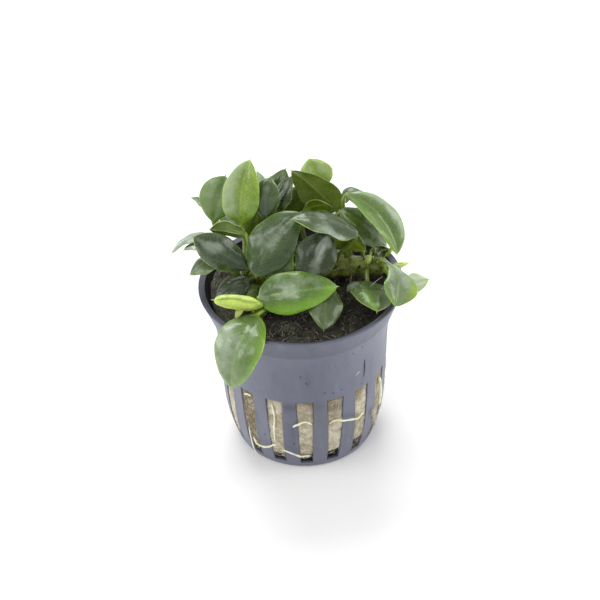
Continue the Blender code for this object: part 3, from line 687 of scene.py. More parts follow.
def shaded_material(name, low, high, rough):
    """Small loose parts: each has its own tone between two colours, finely mottled."""
    n = Nodes(name)
    mottle = n.math("SUBTRACT", n.noise(0.7, detail=3.0), 0.5)
    share = n.plus(n.attribute("shade"), mottle, 0.5)
    return n.set(Base_Color=n.layers(paint(low), (paint(high), share, 0.0, 1.0)),
                 Roughness=rough)


# The leaf tones: skin, underside, margin, the brighter green beside it, which is partly the
# leaf's own and partly painted light let through, and stalk; how strong that green, the
# midrib and the side veins are; light let through and clear coat.
TONES = {
    "mature": dict(skin="#4c6136", under="#5a6b2a", margin="#a3b768", edge="#64822e",
                   stalk="#768a3a", glow=0.3, rib=0.3, veins=0.14, through=0.05, coat=0.55),
    # Painted shade: the dark tone is a darker copy of the mature one, for leaves that lie in
    # shade.
    "dark": dict(skin="#333f27", under="#4a562c", margin="#7d8f50", edge="#4f6a30",
                 stalk="#5c6a30", glow=0.2, rib=0.25, veins=0.12, through=0.04, coat=0.2),
    "light": dict(skin="#698a3c", under="#7a9040", margin="#b4cf6c", edge="#7fb02c",
                  stalk="#96b348", glow=0.45, rib=0.35, veins=0.18, through=0.08, coat=0.55),
    "bright": dict(skin="#8fb03c", under="#8aa03a", margin="#c4dc78", edge="#a2cc3c",
                   stalk="#96b348", glow=0.4, rib=0.4, veins=0.2, through=0.1, coat=0.55),
    "young": dict(skin="#c6db64", under="#c2dc5a", margin="#f0f4c8", edge="#dcec8c",
                  stalk="#96b348", glow=0.5, rib=0.3, veins=0.2, through=0.1, coat=0.55),
}


def leaf_tone(name, settings):
    """One leaf tone as its material takes it; its veins follow the colour in the settings."""
    tone = {key: paint(value) if isinstance(value, str) else value
            for key, value in TONES[name].items()}
    tone["vein"] = tuple(min(1.0, c * 1.5 + 0.03) for c in getattr(settings, name))
    return tone


# Leaves

# Rings of points along a blade and along a stalk, points in half a ring, and half a blade's
# thickness.
BLADE_ROWS = 52
STALK_ROWS = 12
HALF_RING = 18
BLADE_BODY = 0.22
# How deep the foot of a stalk and of a rolled leaf lies in its stem.
STALK_DEPTH = 0.5
SHOOT_DEPTH = 0.4
# Rings of points along a rolled leaf and points in each, half its thickness at the tip, and
# the way that its seam faces.
SHOOT_ROWS = 56
SHOOT_COLUMNS = 36
SHOOT_TIP = 0.14
SEAM_WAY = Vector((0.0, -0.45, 0.9))


def stem_frame(stem, t):
    """Centre, direction, front side and upward side of a creeping stem at t."""
    points = STEMS[stem][0]
    ahead = (catmull(points, t + 0.01) - catmull(points, t - 0.01)).normalized()
    front = ahead.cross(Vector((0, 0, 1))).normalized()
    if front.y > 0:
        front = -front
    return catmull(points, t), ahead, front, Vector((0, 0, 1))


def stem_point(stem, t, turn, lift):
    """A point beside the stem: turn is the angle round it, from up towards the front."""
    centre, _, front, up = stem_frame(stem, t)
    a = math.radians(turn)
    out = up * math.cos(a) + front * math.sin(a)
    return centre + out * (STEMS[stem][1] + lift), out


def bezier(p, t):
    """A point on the cubic curve with the four given control points."""
    q = 1 - t
    return p[0] * q ** 3 + p[1] * 3 * q * q * t + p[2] * 3 * q * t * t + p[3] * t ** 3


def half_width(leaf, s):
    """Half the width of a leaf's blade: an oval, drawn out to a point at its tip."""
    if s <= 0 or s >= 1:
        return 0.0
    pointed = 1 - 0.12 * smooth(0.86, 1.0, s)
    return leaf.width / 2 * pointed * math.sin(math.pi * s ** leaf.belly) ** 0.6


def blade_frames(leaf, stalk_radius):
    """Centre, direction, side, upper direction, half width and place of each blade ring."""
    base, tip = Vector(leaf.base), Vector(leaf.tip)
    chord = tip - base
    along = chord.normalized()
    face = Vector(leaf.face)
    up = (face - along * face.dot(along)).normalized()
    side = along.cross(up)
    frames = []
    for n in range(BLADE_ROWS + 1):
        t = n / BLADE_ROWS
        s = 0.35 * t + 0.65 * (0.5 - 0.5 * math.cos(math.pi * t))
        hump = 4 * s * (1 - s)
        slope = 4 * (1 - 2 * s)
        centre = base + chord * s + up * leaf.arch * hump + side * leaf.bend * hump
        ahead = (chord + up * leaf.arch * slope + side * leaf.bend * slope).normalized()
        across = (side - ahead * side.dot(ahead)).normalized()
        half = max(half_width(leaf, s), stalk_radius * (1 - smooth(0.0, 0.2, s)), 0.16)
        frames.append((centre, ahead, across, across.cross(ahead), half, s))
    # Two small rings past the tip, so that it closes to a blunt point.
    centre, ahead, across, up = frames[-1][:4]
    for reach, half in ((0.3, 0.13), (0.65, 0.06)):
        frames.append((centre + ahead * reach - up * reach * 0.3, ahead, across, up, half, 1.0))
    return frames


# What each point of a leaf keeps for its material: whether it is on the underside and on the
# stalk, its distance from the margin and from the midrib, its place across the side veins,
# how far painted reflection makes it silvery (above 0) or painted shade deepens it (below 0),
# and its colour.
SKIN_FIELDS = ("under", "stalk", "margin", "midrib", "vein", "painted_light", "tint")
# A point's height on its ring, as a share, above which it is on the upper side of a blade and
# below minus which it is on the underside.
EDGE = 0.01
# Added to the distances of a stalk's points, so that no margin or midrib shows on it.
FAR_OFF = 4.0


def skin_fields(rows):
    """What the points of each ring keep, by name."""
    return {key: [[point[i] for point in row] for row in rows]
            for i, key in enumerate(SKIN_FIELDS)}


def stalk_frames(leaf, first, radius):
    """The rings of a leaf's stalk, from its foot on the stem to the first of its blade."""
    base, ahead, side = first[:3]
    foot, out = stem_point(leaf.stem, leaf.along, leaf.turn, -STALK_DEPTH)
    reach = (base - foot).length
    climb = (out + Vector((0, 0, 0.8))).normalized()
    arrive = (ahead + (base - foot).normalized() * 1.5).normalized()
    curve = (foot, foot + climb * reach * 0.4, base - arrive * reach * 0.35, base)
    stalk = []
    for n in range(STALK_ROWS):
        t = 1 - (n + 1) / STALK_ROWS
        way = (bezier(curve, t + 0.02) - bezier(curve, max(t - 0.02, 0.0))).normalized()
        side = ahead.rotation_difference(way) @ side
        ahead = way
        swell = 1 + 0.35 * (1 - smooth(0.0, 0.35, t)) + 0.12 * smooth(0.88, 1.0, t)
        stalk.append((bezier(curve, t), way, side, side.cross(way), radius * swell, t - 1))
    return stalk[::-1]


def leaf_rings(leaf, settings, seed):
    """Rings of points from the foot of a leaf's stalk to its tip, and what each point keeps."""
    radius = settings.stalk / MM
    frames = blade_frames(leaf, radius)
    length = (Vector(leaf.tip) - Vector(leaf.base)).length
    angles = [math.pi * k / HALF_RING for k in range(HALF_RING)]
    angles += [math.pi + a for a in angles]
    upper, under = (leaf_tint(leaf, settings, side) for side in ("skin", "under"))
    waves = 1.6 + 0.5 * math.sin(seed * 5.1)
    rings, rows = [], []
    for centre, _, across, up, half, s in stalk_frames(leaf, frames[0], radius) + frames:
        blade = smooth(-0.01, 0.16, s)
        full = min(1.0, half / (leaf.width / 2))
        body = radius * (1 - blade) * min(1.0, half / radius)
        body += BLADE_BODY * blade * (0.35 + 0.65 * min(1.0, full * 2))
        rise = math.radians(leaf.fold) * blade
        off_blade = FAR_OFF * (1 - blade)
        ring, row = [], []
        for a in angles:
            u = -math.cos(a)
            top = math.sin(a)
            rib = abs(u) * half
            round_off = math.copysign(abs(top) ** (1 - 0.35 * blade), top)
            lift = body * round_off + abs(u) * half * math.sin(rise)
            # Low pads beside the midrib, edges that curl down, waves along them, dents.
            lift += blade * 0.09 * half * math.sin(math.pi * abs(u)) - blade * 0.06 * half * u * u
            wave = math.sin(2 * math.pi * waves * s + seed * 3 + (1.7 if u > 0 else 0.0))
            lift += blade * 0.32 * wave * full * abs(u) ** 3
            place = centre + across * u * half
            dents = 0.45 * ripple(place, 5.0, seed) + 0.2 * ripple(place, 2.4, seed)
            lift += blade * full * dents
            groove = math.exp(-(rib / 0.42) ** 2) * blade * (1 - smooth(0.75, 1.0, s))
            lift += groove * (-0.2 if top > EDGE else -0.3 if top < -EDGE else 0.0)
            nibble = 1 + 0.014 * blade * math.sin(s * 17 + seed * 2 + u * 2)
            nibble *= leaf_inset(leaf.name, s, u)
            ring.append(centre + across * u * half * math.cos(rise) * nibble + up * lift)
            tint = under if top < -EDGE else upper
            if top > EDGE and s > 0:
                tint = leaf_glow(leaf.name, tint, s, u)
            row.append((0.5 if abs(top) < EDGE else float(top < 0), 1 - smooth(-0.02, 0.05, s),
                        (1 - abs(u)) * half + off_blade, rib + off_blade,
                        (s * length - rib * 0.9) / 1.1,
                        painted_sheen_and_shade(leaf.name, s, u) if s > 0 else 0.0, (*tint, 1.0)))
        rings.append(ring)
        rows.append(row)
    return rings, skin_fields(rows)


# The colour of each leaf's upper side, where it isn't the plain colour of its tone. The
# colours of the leaves that lie in shade are darker than their own green: painted shade.
LEAF_TINTS = {
    "upright_bright": "#738b2b",
    "back_left": "#7b9357",
    "far_back_left": "#4e613d",
    "behind_stalks": "#5f730e",
    "left_glossy": "#28391a",
    "far_left": "#7d8a78",
    "behind_bright": "#a3b98c",
    "centre_large": "#364e1d",
    "centre_right": "#2c4110",
    "right_under": "#465f10",
    "right_large": "#5b7237",
    "top_bright": "#92a754",
    "top_centre_dark": "#3e5220",
    "top_centre": "#1a290c",
    "top_back": "#3a5117",
    "shaded": "#58700a",
    "centre_dark": "#21320a",
    "front_bright": "#46611f",
    "front_hanging": "#5a713b",
    "left_shaded": "#26330c",
    "left_shaded_low": "#4c5f16",
    "under_centre": "#5e764e",
    "front_small": "#47592b",
    "front_right": "#3d521e",
    "right_pale": "#657557",
    "far_left_small": "#94a487",
    "left_low": "#5c7044",
    "far_right": "#d0d5b8",
}
# The same for the underside.
UNDER_TINTS = {
    "left_underside": "#6b833f",
    "centre_under": "#809529",
    "back_centre_right": "#738a36",
    "back_centre_low": "#789213",
    "right_edge_on": "#2f370d",
}

# Patches of painted reflection, where the glossy skin of a leaf is painted silvery: how far along
# the blade, where across it (-1 to 1), how far each reaches both ways and how strong it is.
# Below 0 the skin is painted deeper and darker there: painted shade.
PAINTED_SHEEN_AND_SHADE = {
    "upright_bright": ((0.6, -0.8, 0.7, 0.55, 0.9), (0.3, 0.8, 0.4, 0.5, -0.7),
                       (0.95, -0.1, 0.1, 0.3, 0.5)),
    "back_left": ((0.7, -0.5, 0.4, 0.6, 0.45), (0.15, 0.3, 0.25, 0.5, -0.8)),
    "left_underside": ((0.45, -0.9, 0.35, 0.25, 0.5), (0.95, -0.6, 0.12, 0.5, 0.5)),
    "left_glossy": ((0.75, 0.0, 0.25, 0.35, 0.75), (0.12, 0.1, 0.25, 1.0, -0.7),
                    (0.55, 0.3, 0.15, 0.25, 0.5), (0.9, -0.9, 0.15, 0.2, 0.4)),
    "far_left": ((0.6, 0.0, 0.6, 1.0, 0.9),),
    "far_left_small": ((0.6, 0.0, 0.6, 1.0, 0.9),),
    "left_low": ((0.7, -0.3, 0.4, 0.6, 0.5),),
    "behind_bright": ((0.6, 0.0, 0.6, 1.0, 0.7),),
    "centre_large": ((0.42, -0.55, 0.2, 0.4, 0.6), (0.52, 0.0, 0.16, 0.22, 0.6),
                     (0.27, -0.17, 0.1, 0.18, 0.9), (0.15, 0.2, 0.22, 0.7, -0.8),
                     (0.5, 0.85, 0.3, 0.3, -0.8), (0.85, 0.1, 0.25, 0.8, 0.3)),
    "centre_right": ((0.6, -0.75, 0.22, 0.35, 0.65), (0.58, 0.1, 0.1, 0.35, 0.7),
                     (0.4, -0.95, 0.25, 0.2, 0.6), (0.1, 0.9, 0.2, 0.4, 0.5),
                     (0.85, 0.0, 0.08, 0.3, 0.6), (0.72, -0.1, 0.06, 0.3, -0.8),
                     (0.25, -0.4, 0.25, 0.3, -0.4)),
    "right_under": ((0.5, -0.4, 0.3, 0.25, 0.8), (0.6, 0.6, 0.6, 0.5, -0.5)),
    "right_large": ((0.45, -0.75, 0.5, 0.38, 0.95), (0.5, 0.0, 0.5, 0.12, -0.3),
                    (0.4, 0.65, 0.15, 0.2, 0.4), (0.7, 0.8, 0.2, 0.2, 0.3)),
    "back_centre_right": ((0.9, -0.2, 0.12, 0.6, 0.9), (0.5, 0.9, 0.5, 0.15, 0.5)),
    "top_bright": ((0.6, 0.5, 0.5, 0.5, 0.6), (0.9, -0.5, 0.2, 0.5, 0.3)),
    "top_centre_dark": ((0.96, -0.7, 0.1, 0.5, 1.0), (0.95, 0.9, 0.12, 0.3, 0.9),
                        (0.78, 0.1, 0.2, 0.4, 0.5), (0.15, 0.0, 0.4, 1.0, -0.8)),
    "top_centre": ((0.8, 0.0, 0.2, 0.4, 0.5), (0.2, 0.0, 0.4, 1.0, -0.6)),
    "centre_dark": ((0.12, -0.35, 0.12, 0.35, 0.9), (0.26, 0.0, 0.14, 0.2, 1.2),
                    (0.5, -0.15, 0.2, 0.4, 0.6), (0.8, -0.3, 0.15, 0.5, 0.35),
                    (0.35, 0.65, 0.5, 0.35, -0.7), (0.5, -0.9, 0.3, 0.15, -0.5)),
    "front_bright": ((0.42, -0.05, 0.16, 0.5, 0.75), (0.6, -0.65, 0.2, 0.3, 0.45),
                     (0.8, 0.0, 0.15, 0.5, 0.3), (0.08, 0.0, 0.12, 0.8, -0.5),
                     (0.6, 0.85, 0.4, 0.3, -0.25), (0.25, -0.7, 0.12, 0.3, 0.3)),
    "front_hanging": ((0.35, 0.75, 0.3, 0.35, 0.85), (0.55, 0.1, 0.35, 0.5, 0.4),
                      (0.08, -0.1, 0.13, 0.8, -0.8), (0.75, 0.6, 0.2, 0.4, 0.4),
                      (0.35, -0.8, 0.3, 0.2, -0.4)),
    "front_small": ((0.92, -0.7, 0.1, 0.4, 0.7), (0.6, 0.5, 0.25, 0.4, 0.45),
                    (0.3, -0.6, 0.3, 0.4, -0.6)),
    "front_right": ((0.85, 0.0, 0.07, 0.5, 0.7), (0.3, 0.8, 0.2, 0.25, 0.6),
                    (0.7, -0.1, 0.08, 0.2, 0.5), (0.5, 0.1, 0.25, 0.6, -0.3),
                    (0.15, 0.5, 0.1, 0.4, 0.5)),
    "right_pale": ((0.25, -0.5, 0.3, 0.6, 0.9), (0.25, 0.6, 0.3, 0.4, 0.8),
                   (0.6, -0.3, 0.2, 0.5, 0.35), (0.85, -0.7, 0.15, 0.3, -0.5)),
    "far_right": ((0.6, -0.3, 0.6, 0.8, 0.9),),
    "left_shaded": ((0.5, 0.0, 0.8, 1.2, -0.45),),
}

# Brighter green patches on a leaf's upper side, partly the leaf's own green and partly painted
# light let through: their colour, then the patches as above.
GLOWS = {
    "front_bright": ("#8cc414", (0.45, 1.0, 0.6, 0.46, 1.0), (0.95, 0.2, 0.15, 0.5, 0.7)),
    "front_right": ("#6f991f", (0.72, 0.35, 0.3, 0.4, 0.9), (0.95, 0.2, 0.12, 0.5, 0.6)),
    "right_pale": ("#93a83a", (0.75, -0.85, 0.15, 0.35, 1.0), (0.95, 0.4, 0.15, 0.5, 0.4)),
    "front_hanging": ("#7fa035", (0.1, -0.9, 0.25, 0.35, 0.9), (0.5, -0.95, 0.5, 0.2, 0.6)),
    "upright_bright": ("#86a51e", (0.35, 0.85, 0.4, 0.35, 0.6), (0.7, -0.95, 0.4, 0.2, 0.4)),
    "right_large": ("#7f9f38", (0.6, -0.95, 0.5, 0.18, 0.7), (0.85, 0.6, 0.2, 0.4, 0.5)),
}

# Where one side of a blade is drawn in: how far along, which side, how far it reaches along
# the blade and how much narrower the side is there (wider below 0).
INSETS = {
    "right_pale": ((0.33, -1, 0.2, 0.45), (0.7, -1, 0.1, -0.04), (0.95, -1, 0.12, 0.3)),
    "far_right": ((0.45, -1, 0.5, -0.3), (0.45, 1, 0.5, -0.3)),
}


def patch_share(patches, s, u):
    """How strongly a leaf's patches act at a place on it."""
    return sum(strength * fade((s - s0) / along, (u - u0) / across)
               for s0, u0, along, across, strength in patches)


def painted_sheen_and_shade(name, s, u):
    """How far painted reflection makes the skin silvery at a place on a leaf, or, below 0, how
    far painted shade deepens its colour.
    """
    return patch_share(PAINTED_SHEEN_AND_SHADE.get(name, ()), s, u)


def leaf_glow(name, tint, s, u):
    """A leaf's colour, shifted to a brighter green, partly painted light let through, near the
    places where it glows.
    """
    if name not in GLOWS:
        return tint
    colour, *patches = GLOWS[name]
    return Vector(tint).lerp(Vector(paint(colour)), min(patch_share(patches, s, u), 1.0))


def leaf_inset(name, s, u):
    """How wide a side of a blade is at a place, as a share of its usual width."""
    return 1 - sum(depth * math.exp(-((s - s0) / along) ** 2)
                   for s0, side, along, depth in INSETS.get(name, ()) if u * side > 0)


def leaf_tint(leaf, settings, side):
    """The colour of a leaf's upper side ("skin") or underside ("under"). It is shifted as far
    as the colour of its tone in the settings is from the usual one."""
    own = (LEAF_TINTS if side == "skin" else UNDER_TINTS).get(leaf.name)
    colour = paint(own or TONES[leaf.tone][side])
    usual = Vector(paint(TONES[leaf.tone]["skin"]))
    chosen = getattr(settings, leaf.tone)
    return tuple(c * (new / old) for c, new, old in zip(colour, chosen, usual))


def shoot_rings(shoot, settings):
    """Rings of points round a leaf that is still rolled up, and what each point keeps."""
    _, stem, along, turn, base, tip, radius, flat = shoot
    foot, _ = stem_point(stem, along, turn, -SHOOT_DEPTH)
    base, tip = Vector(base), Vector(tip)
    path = [foot, foot.lerp(base, 0.6), base] + [base.lerp(tip, s) for s in (0.33, 0.66, 1.0)]
    places = [n / SHOOT_ROWS for n in range(SHOOT_ROWS + 1)]
    centres = [catmull(path, t) for t in places]
    spine = (tip - base).normalized()
    centres += [tip + spine * reach for reach in (0.25, 0.6, 0.95)]
    places += [1.0] * 3
    blunt = radius > 1.5
    tint = (*settings.young, 1.0)
    rings, rows = [], []
    for n, ((_, side, up), centre, t) in enumerate(zip(frames_along(centres), centres, places)):
        at_tip = n > SHOOT_ROWS
        s = (t - 0.4) / 0.6
        # A blunt roll narrows late and all at once, a spear over its whole length.
        if blunt:
            full = (0.4 + 0.6 * smooth(-0.1, 0.3, s)) * math.sqrt(max(0.0, 1 - max(s, 0.0) ** 5))
        else:
            full = math.sin(math.pi * min(max(s, 0.0) * 0.93 + 0.07, 1.0) ** 0.8) ** 0.7
        r = max(radius * full, min(0.5, radius * 0.6) * (1 - smooth(0.8, 1.0, t)), SHOOT_TIP)
        if at_tip:
            r = SHOOT_TIP - 0.04 * (n - SHOOT_ROWS)
        rolled = smooth(0.0, 0.3, s) * (1 - smooth(0.9, 1.0, s))
        seam = math.atan2(up.dot(SEAM_WAY), side.dot(SEAM_WAY))
        seam += 0.25 * math.sin(s * 7) + 0.5 * (s - 0.5)
        ring, row = [], []
        for k in range(SHOOT_COLUMNS):
            a = FULL_TURN * k / SHOOT_COLUMNS
            past = ((a - seam) / FULL_TURN) % 1.0
            crease = math.exp(-(past / 0.05) ** 2)
            lap = 1 + 0.26 * rolled * (past - 0.5)
            lap -= 0.1 * rolled * crease
            way = outwards(side, up, a, flat)
            lap += 0.05 * rolled * ripple(centre + way * r * lap, 1.8, 4.0)
            ring.append(centre + way * r * lap)
            margin = 0.0 if at_tip else 3.0 - 2.9 * rolled * smooth(0.84, 0.97, past)
            # Painted light: painted shade at the stalk end, in the crease under the seam and
            # along a fold beside it, and a painted reflection on the outer lap.
            fold = 0.4 * math.exp(-((past - 0.22) / 0.05) ** 2)
            painted_light = -0.7 * (1 - smooth(0.02, 0.3, s)) + rolled * (
                0.4 * smooth(0.6, 0.85, past) - 1.2 * crease - fold)
            row.append((0.0, 1 - smooth(0.0, 0.2, s), margin, 3.0, 0.5, painted_light, tint))
        rings.append(ring)
        rows.append(row)
    return rings, skin_fields(rows)


# Pot

# Columns of faces across a slot and across the rib beside it.
SLOT_COLUMNS = 8
RIB_COLUMNS = 8
# How far the rim band stands out, and how far a rib is sunk below its step.
BAND_STEP = 0.22
RIB_STEP = 0.22
# Heights between which the wall gets thinner at the rim, and by how much.
LIP = (48.6, 49.7)
LIP_FLARE = 0.45
# Heights between which the darker rim band begins.
BAND_EDGE = (43.2, 43.6)
# The hole in the middle of the floor's grid lies inside this radius.
FLOOR_HOLE = 0.7


def pot_radius(z):
    """Outer radius of the pot at a height: a smooth curve through the profile."""
    pairs = POT_PROFILE
    for i, ((z0, r0), (z1, r1)) in enumerate(zip(pairs, pairs[1:])):
        if z <= z1 or i == len(pairs) - 2:
            before = pairs[i - 1] if i else (2 * z0 - z1, 2 * r0 - r1)
            after = pairs[i + 2] if i + 2 < len(pairs) else (2 * z1 - z0, 2 * r1 - r0)
            m0 = (r1 - before[1]) / (z1 - before[0])
            m1 = (after[1] - r0) / (after[0] - z0)
            h = z1 - z0
            f = min(max((z - z0) / h, 0.0), 1.0)
            break
    return (r0 * (1 + 2 * f) * (1 - f) ** 2 + m0 * h * f * (1 - f) ** 2
            + r1 * f * f * (3 - 2 * f) + m1 * h * f * f * (f - 1))


def slot_half_angle(z):
    """Half the angle that a slot takes at a height."""
    share = min(max((z - POT_FLOOR) / (SLOT_TOP - POT_FLOOR), 0.0), 1.0)
    return (SLOT_WIDTHS[0] + (SLOT_WIDTHS[1] - SLOT_WIDTHS[0]) * share) / 2 / pot_radius(z)


def pot_rows():
    """Radius and height of each row of the pot's outer skin, and if the slots cut the row."""
    inner, outer = FLOOR_SLOTS
    rows = [(0.6, 0.0, False), (3.5, 0.0, False), (inner, 0.0, True)]
    rows += [(inner + (outer - inner) * k / 3, 0.0, True) for k in (1, 2)]
    rows += [(outer, 0.0, False), (17.0, 0.0, False), (18.6, 0.02, False),
             (19.15, 0.35, False), (19.45, 1.0, False)]
    for heights, out, cut in (
            ((POT_FLOOR, 3.5, 5.5, 8, 11, 14, 17, 20, 22.5, 25), 0.0, True),
            ((SLOT_TOP, 27.2, 29, 31.5, 34, 36.5, 38.5, 40.5, 42.2, 43.1), 0.0, False),
            ((43.5, 44.2, 45.5, 47, 48.4, 49.3, 49.8), BAND_STEP, False)):
        rows += [(pot_radius(z) + out, z, cut) for z in heights]
    return rows + [(RIM_RADIUS, POT_HEIGHT, False)]


def build_pot_shell():
    """The pot's skin with its slots cut out, before it gets its thickness."""
    rows = pot_rows()
    per = SLOT_COLUMNS + RIB_COLUMNS
    piece, row, column = flat_grid("net_pot_shell", SLOT_COUNT * per, len(rows) - 1)
    places = []
    for j, c in zip(row, column):
        r, z, _ = rows[j]
        half = slot_half_angle(z)
        k, local = divmod(c, per)
        a = -half + 2 * half * local / SLOT_COLUMNS
        if local > SLOT_COLUMNS:
            across = (local - SLOT_COLUMNS) / RIB_COLUMNS
            a = half + (SLOT_PITCH - 2 * half) * across
            step = 21.5 + 3.5 * math.sin(k * 2.3)
            sunk = math.sin(math.pi * across) ** 0.3
            r -= RIB_STEP * sunk * (1 - smooth(step, step + 1.2, z)) * smooth(2.0, 4.0, z)
        a += FRONT_SLOT + k * SLOT_PITCH
        places.append(around(a, r, z))
    set_places(piece, places)

    def in_slot(polygon):
        low_row = min(row[v] for v in polygon.vertices)
        low_column = min(column[v] for v in polygon.vertices) % per
        return rows[low_row][2] and low_column < SLOT_COLUMNS

    select_faces(piece, in_slot)
    bpy.ops.mesh.delete(type="FACE")
    return piece


def close_floor(piece):
    """Merge the shell's seam, close the small hole in its floor and turn its faces outwards."""
    bpy.ops.mesh.select_mode(type="VERT")
    bpy.ops.mesh.select_all(action="SELECT")
    bpy.ops.mesh.remove_doubles(threshold=MERGE)
    bpy.ops.mesh.select_all(action="DESELECT")
    bpy.ops.object.mode_set(mode="OBJECT")
    for vertex in piece.data.vertices:
        vertex.select = vertex.co.xy.length < FLOOR_HOLE * MM
    bpy.ops.object.mode_set(mode="EDIT")
    bpy.ops.mesh.edge_face_add()
    bpy.ops.mesh.select_all(action="SELECT")
    bpy.ops.mesh.normals_make_consistent(inside=False)
    bpy.ops.object.mode_set(mode="OBJECT")
    wall = max(piece.data.polygons, key=lambda p: p.center.z)
    if wall.normal.dot(Vector((*wall.center.xy, 0.0))) < 0:
        piece.data.flip_normals()


def flare_lip(piece):
    """Thin the wall towards its upper edge, from the inside."""
    for vertex in piece.data.vertices:
        r, z = vertex.co.xy.length / MM, vertex.co.z / MM
        if z > LIP[0] and r < pot_radius(z) - WALL / 2:
            vertex.co.xy *= (r - LIP_FLARE * smooth(*LIP, z)) / r


def mark_pot(piece):
    """Keep, for its material, where the pot's inside is (painted shade), where its darker marks
    and painted shadows are and where its rim band is.
    """
    marks = {"inside": [], "stain_and_shadow": [], "band": []}
    for vertex in piece.data.vertices:
        r, z = vertex.co.xy.length / MM, vertex.co.z / MM
        # Painted shade covers the inner wall and the inner half of the rim's top.
        depth = pot_radius(max(z, 0.0)) - r if z > POT_FLOOR else 0.0
        rim = smooth(49.4, 49.75, z) * smooth(0.25, 0.4, RIM_RADIUS - r)
        marks["inside"].append(max(smooth(0.95, 1.1, depth), rim))
        marks["stain_and_shadow"].append(wall_stain_and_shadow(vertex.co / MM))
        marks["band"].append(smooth(*BAND_EDGE, z))
    for name, values in marks.items():
        give_attribute(piece, name, values)


def wall_stain_and_shadow(place):
    """How dark the pot's side is at a place, from the few darker marks and painted shadows on it.
    """
    angle, z = math.atan2(place.x, -place.y), place.z
    return sum(dark * fade(pot_radius(max(z, 0)) * (angle - math.radians(a)) / wide,
                           (z - h) / tall)
               for a, h, wide, tall, dark in STAINS_AND_SHADOWS)


# Plug

# Rows of points up its side and across its top, and points in each row.
SIDE_ROWS = 60
TOP_ROWS = 44
PLUG_COLUMNS = SLOT_COUNT * 18
# Height of the loose soil over the plug's mean surface.
SOIL_LIFT = 0.45
# Fibres that hang in the front slot, in each other slot and in the tuft; scales on the stems.
HANGING_FRONT, HANGING, TUFT_FIBRES = 16, 3, 46
SCALE_COUNTS = ((MAIN, 34), (SIDE, 9))


def wool_surface(angle, z):
    """Radius of the wool's side: it fills the pot and reaches out into the slots."""
    off = (angle - FRONT_SLOT + SLOT_PITCH / 2) % SLOT_PITCH - SLOT_PITCH / 2
    half = slot_half_angle(z)
    in_slot = 1 - smooth(half, half + 0.45 / pot_radius(z), abs(off))
    in_slot *= 1 - smooth(SLOT_TOP, SLOT_TOP + 0.4, z)
    return pot_radius(z) - WALL - 0.3 + 1.25 * in_slot


def wool_bottom(angle):
    """Height at which the wool's side ends: it hangs lower at the left of the front."""
    return 5.3 + 1.2 * math.sin(angle - 0.35)


def heap_reach(angle):
    """How much further the plug's top reaches at an angle: to the wall at the left."""
    return 1 + 0.045 * max(0.0, -math.sin(angle)) ** 3


def wool_height(x, y):
    """Height of the wool's top: mounded under the plant, higher at the left and the back."""
    reach = math.hypot(x, y) / 24.0
    bump = 0.7 * noise.noise(Vector((x * 0.19, y * 0.19, 4.2)))
    slope = 0.02 * (y - x)
    heap = 2.2 * fade((x + 23) / 5, (y - 5) / 8)
    return 46.0 + (1 - reach ** 2) + (bump + slope) * min(1.0, 1.6 * reach) + heap


def soil_height(x, y):
    """Height of the rough top of the plug, near enough to stand small things on."""
    return wool_height(x, y) + SOIL_LIFT


def plug_rows(angles):
    """The plug's rows from under it to the middle of its top: if a row is on the top, then
    radius, height and how brown it is at each angle."""
    for r in (1.0, 4.0, 8.0, 11.5, 14.5, 17.0):
        yield False, [(r, WOOL_FLOOR + (wool_bottom(a) - WOOL_FLOOR) * smooth(10, 18, r), 0.0)
                      for a in angles]
    for n in range(SIDE_ROWS):
        share = n / (SIDE_ROWS - 1)
        row = []
        for a in angles:
            z = wool_bottom(a) + (WOOL_EDGE - wool_bottom(a)) * share
            brown = max(smooth(19, 27, z + 3 * math.sin(a * 5)),
                        1.2 * math.exp(-(math.sin((a - BROWN_WOOL) / 2) / 0.09) ** 2))
            row.append((wool_surface(a, z) - 0.8 * (1 - smooth(0.0, 0.03, share)), z, brown))
        yield False, row
    for n in range(TOP_ROWS):
        r = TOP_RADIUS * (1 - n / TOP_ROWS) + 0.3
        yield True, [(r * heap_reach(a), wool_height(*around(a, r)[:2]), 0.0) for a in angles]


# Loose parts: each of these gives strands of (points, half thickness, shade), or crumbs of
# (place, size, shade).

def random_polar(rnd, reach):
    """A random place on a round surface: its angle and its distance from the middle."""
    return rnd.uniform(0, FULL_TURN), reach * math.sqrt(rnd.random())


def keep_inside(point):
    """Move a point inwards where it is too near to the pot's wall."""
    point.xy *= min(1.0, LITTER_REACH / point.xy.length)
    return point


def peat_crumbs(rnd, count):
    """Crumbs all over the plug's top, paler and dustier at the left."""
    crumbs = []
    for _ in range(count):
        a, r = random_polar(rnd, CRUMB_REACH)
        x, y = (c * heap_reach(a) for c in around(a, r)[:2])
        size = 0.3 + 0.9 * rnd.random() ** 2.5
        left = smooth(-8, -20, x)
        crumbs.append(((x, y, soil_height(x, y) + size * rnd.uniform(0.0, 0.3)), size,
                       min(1.0, rnd.random() ** 2 * 0.45 + 0.8 * left * rnd.random())))
    return crumbs


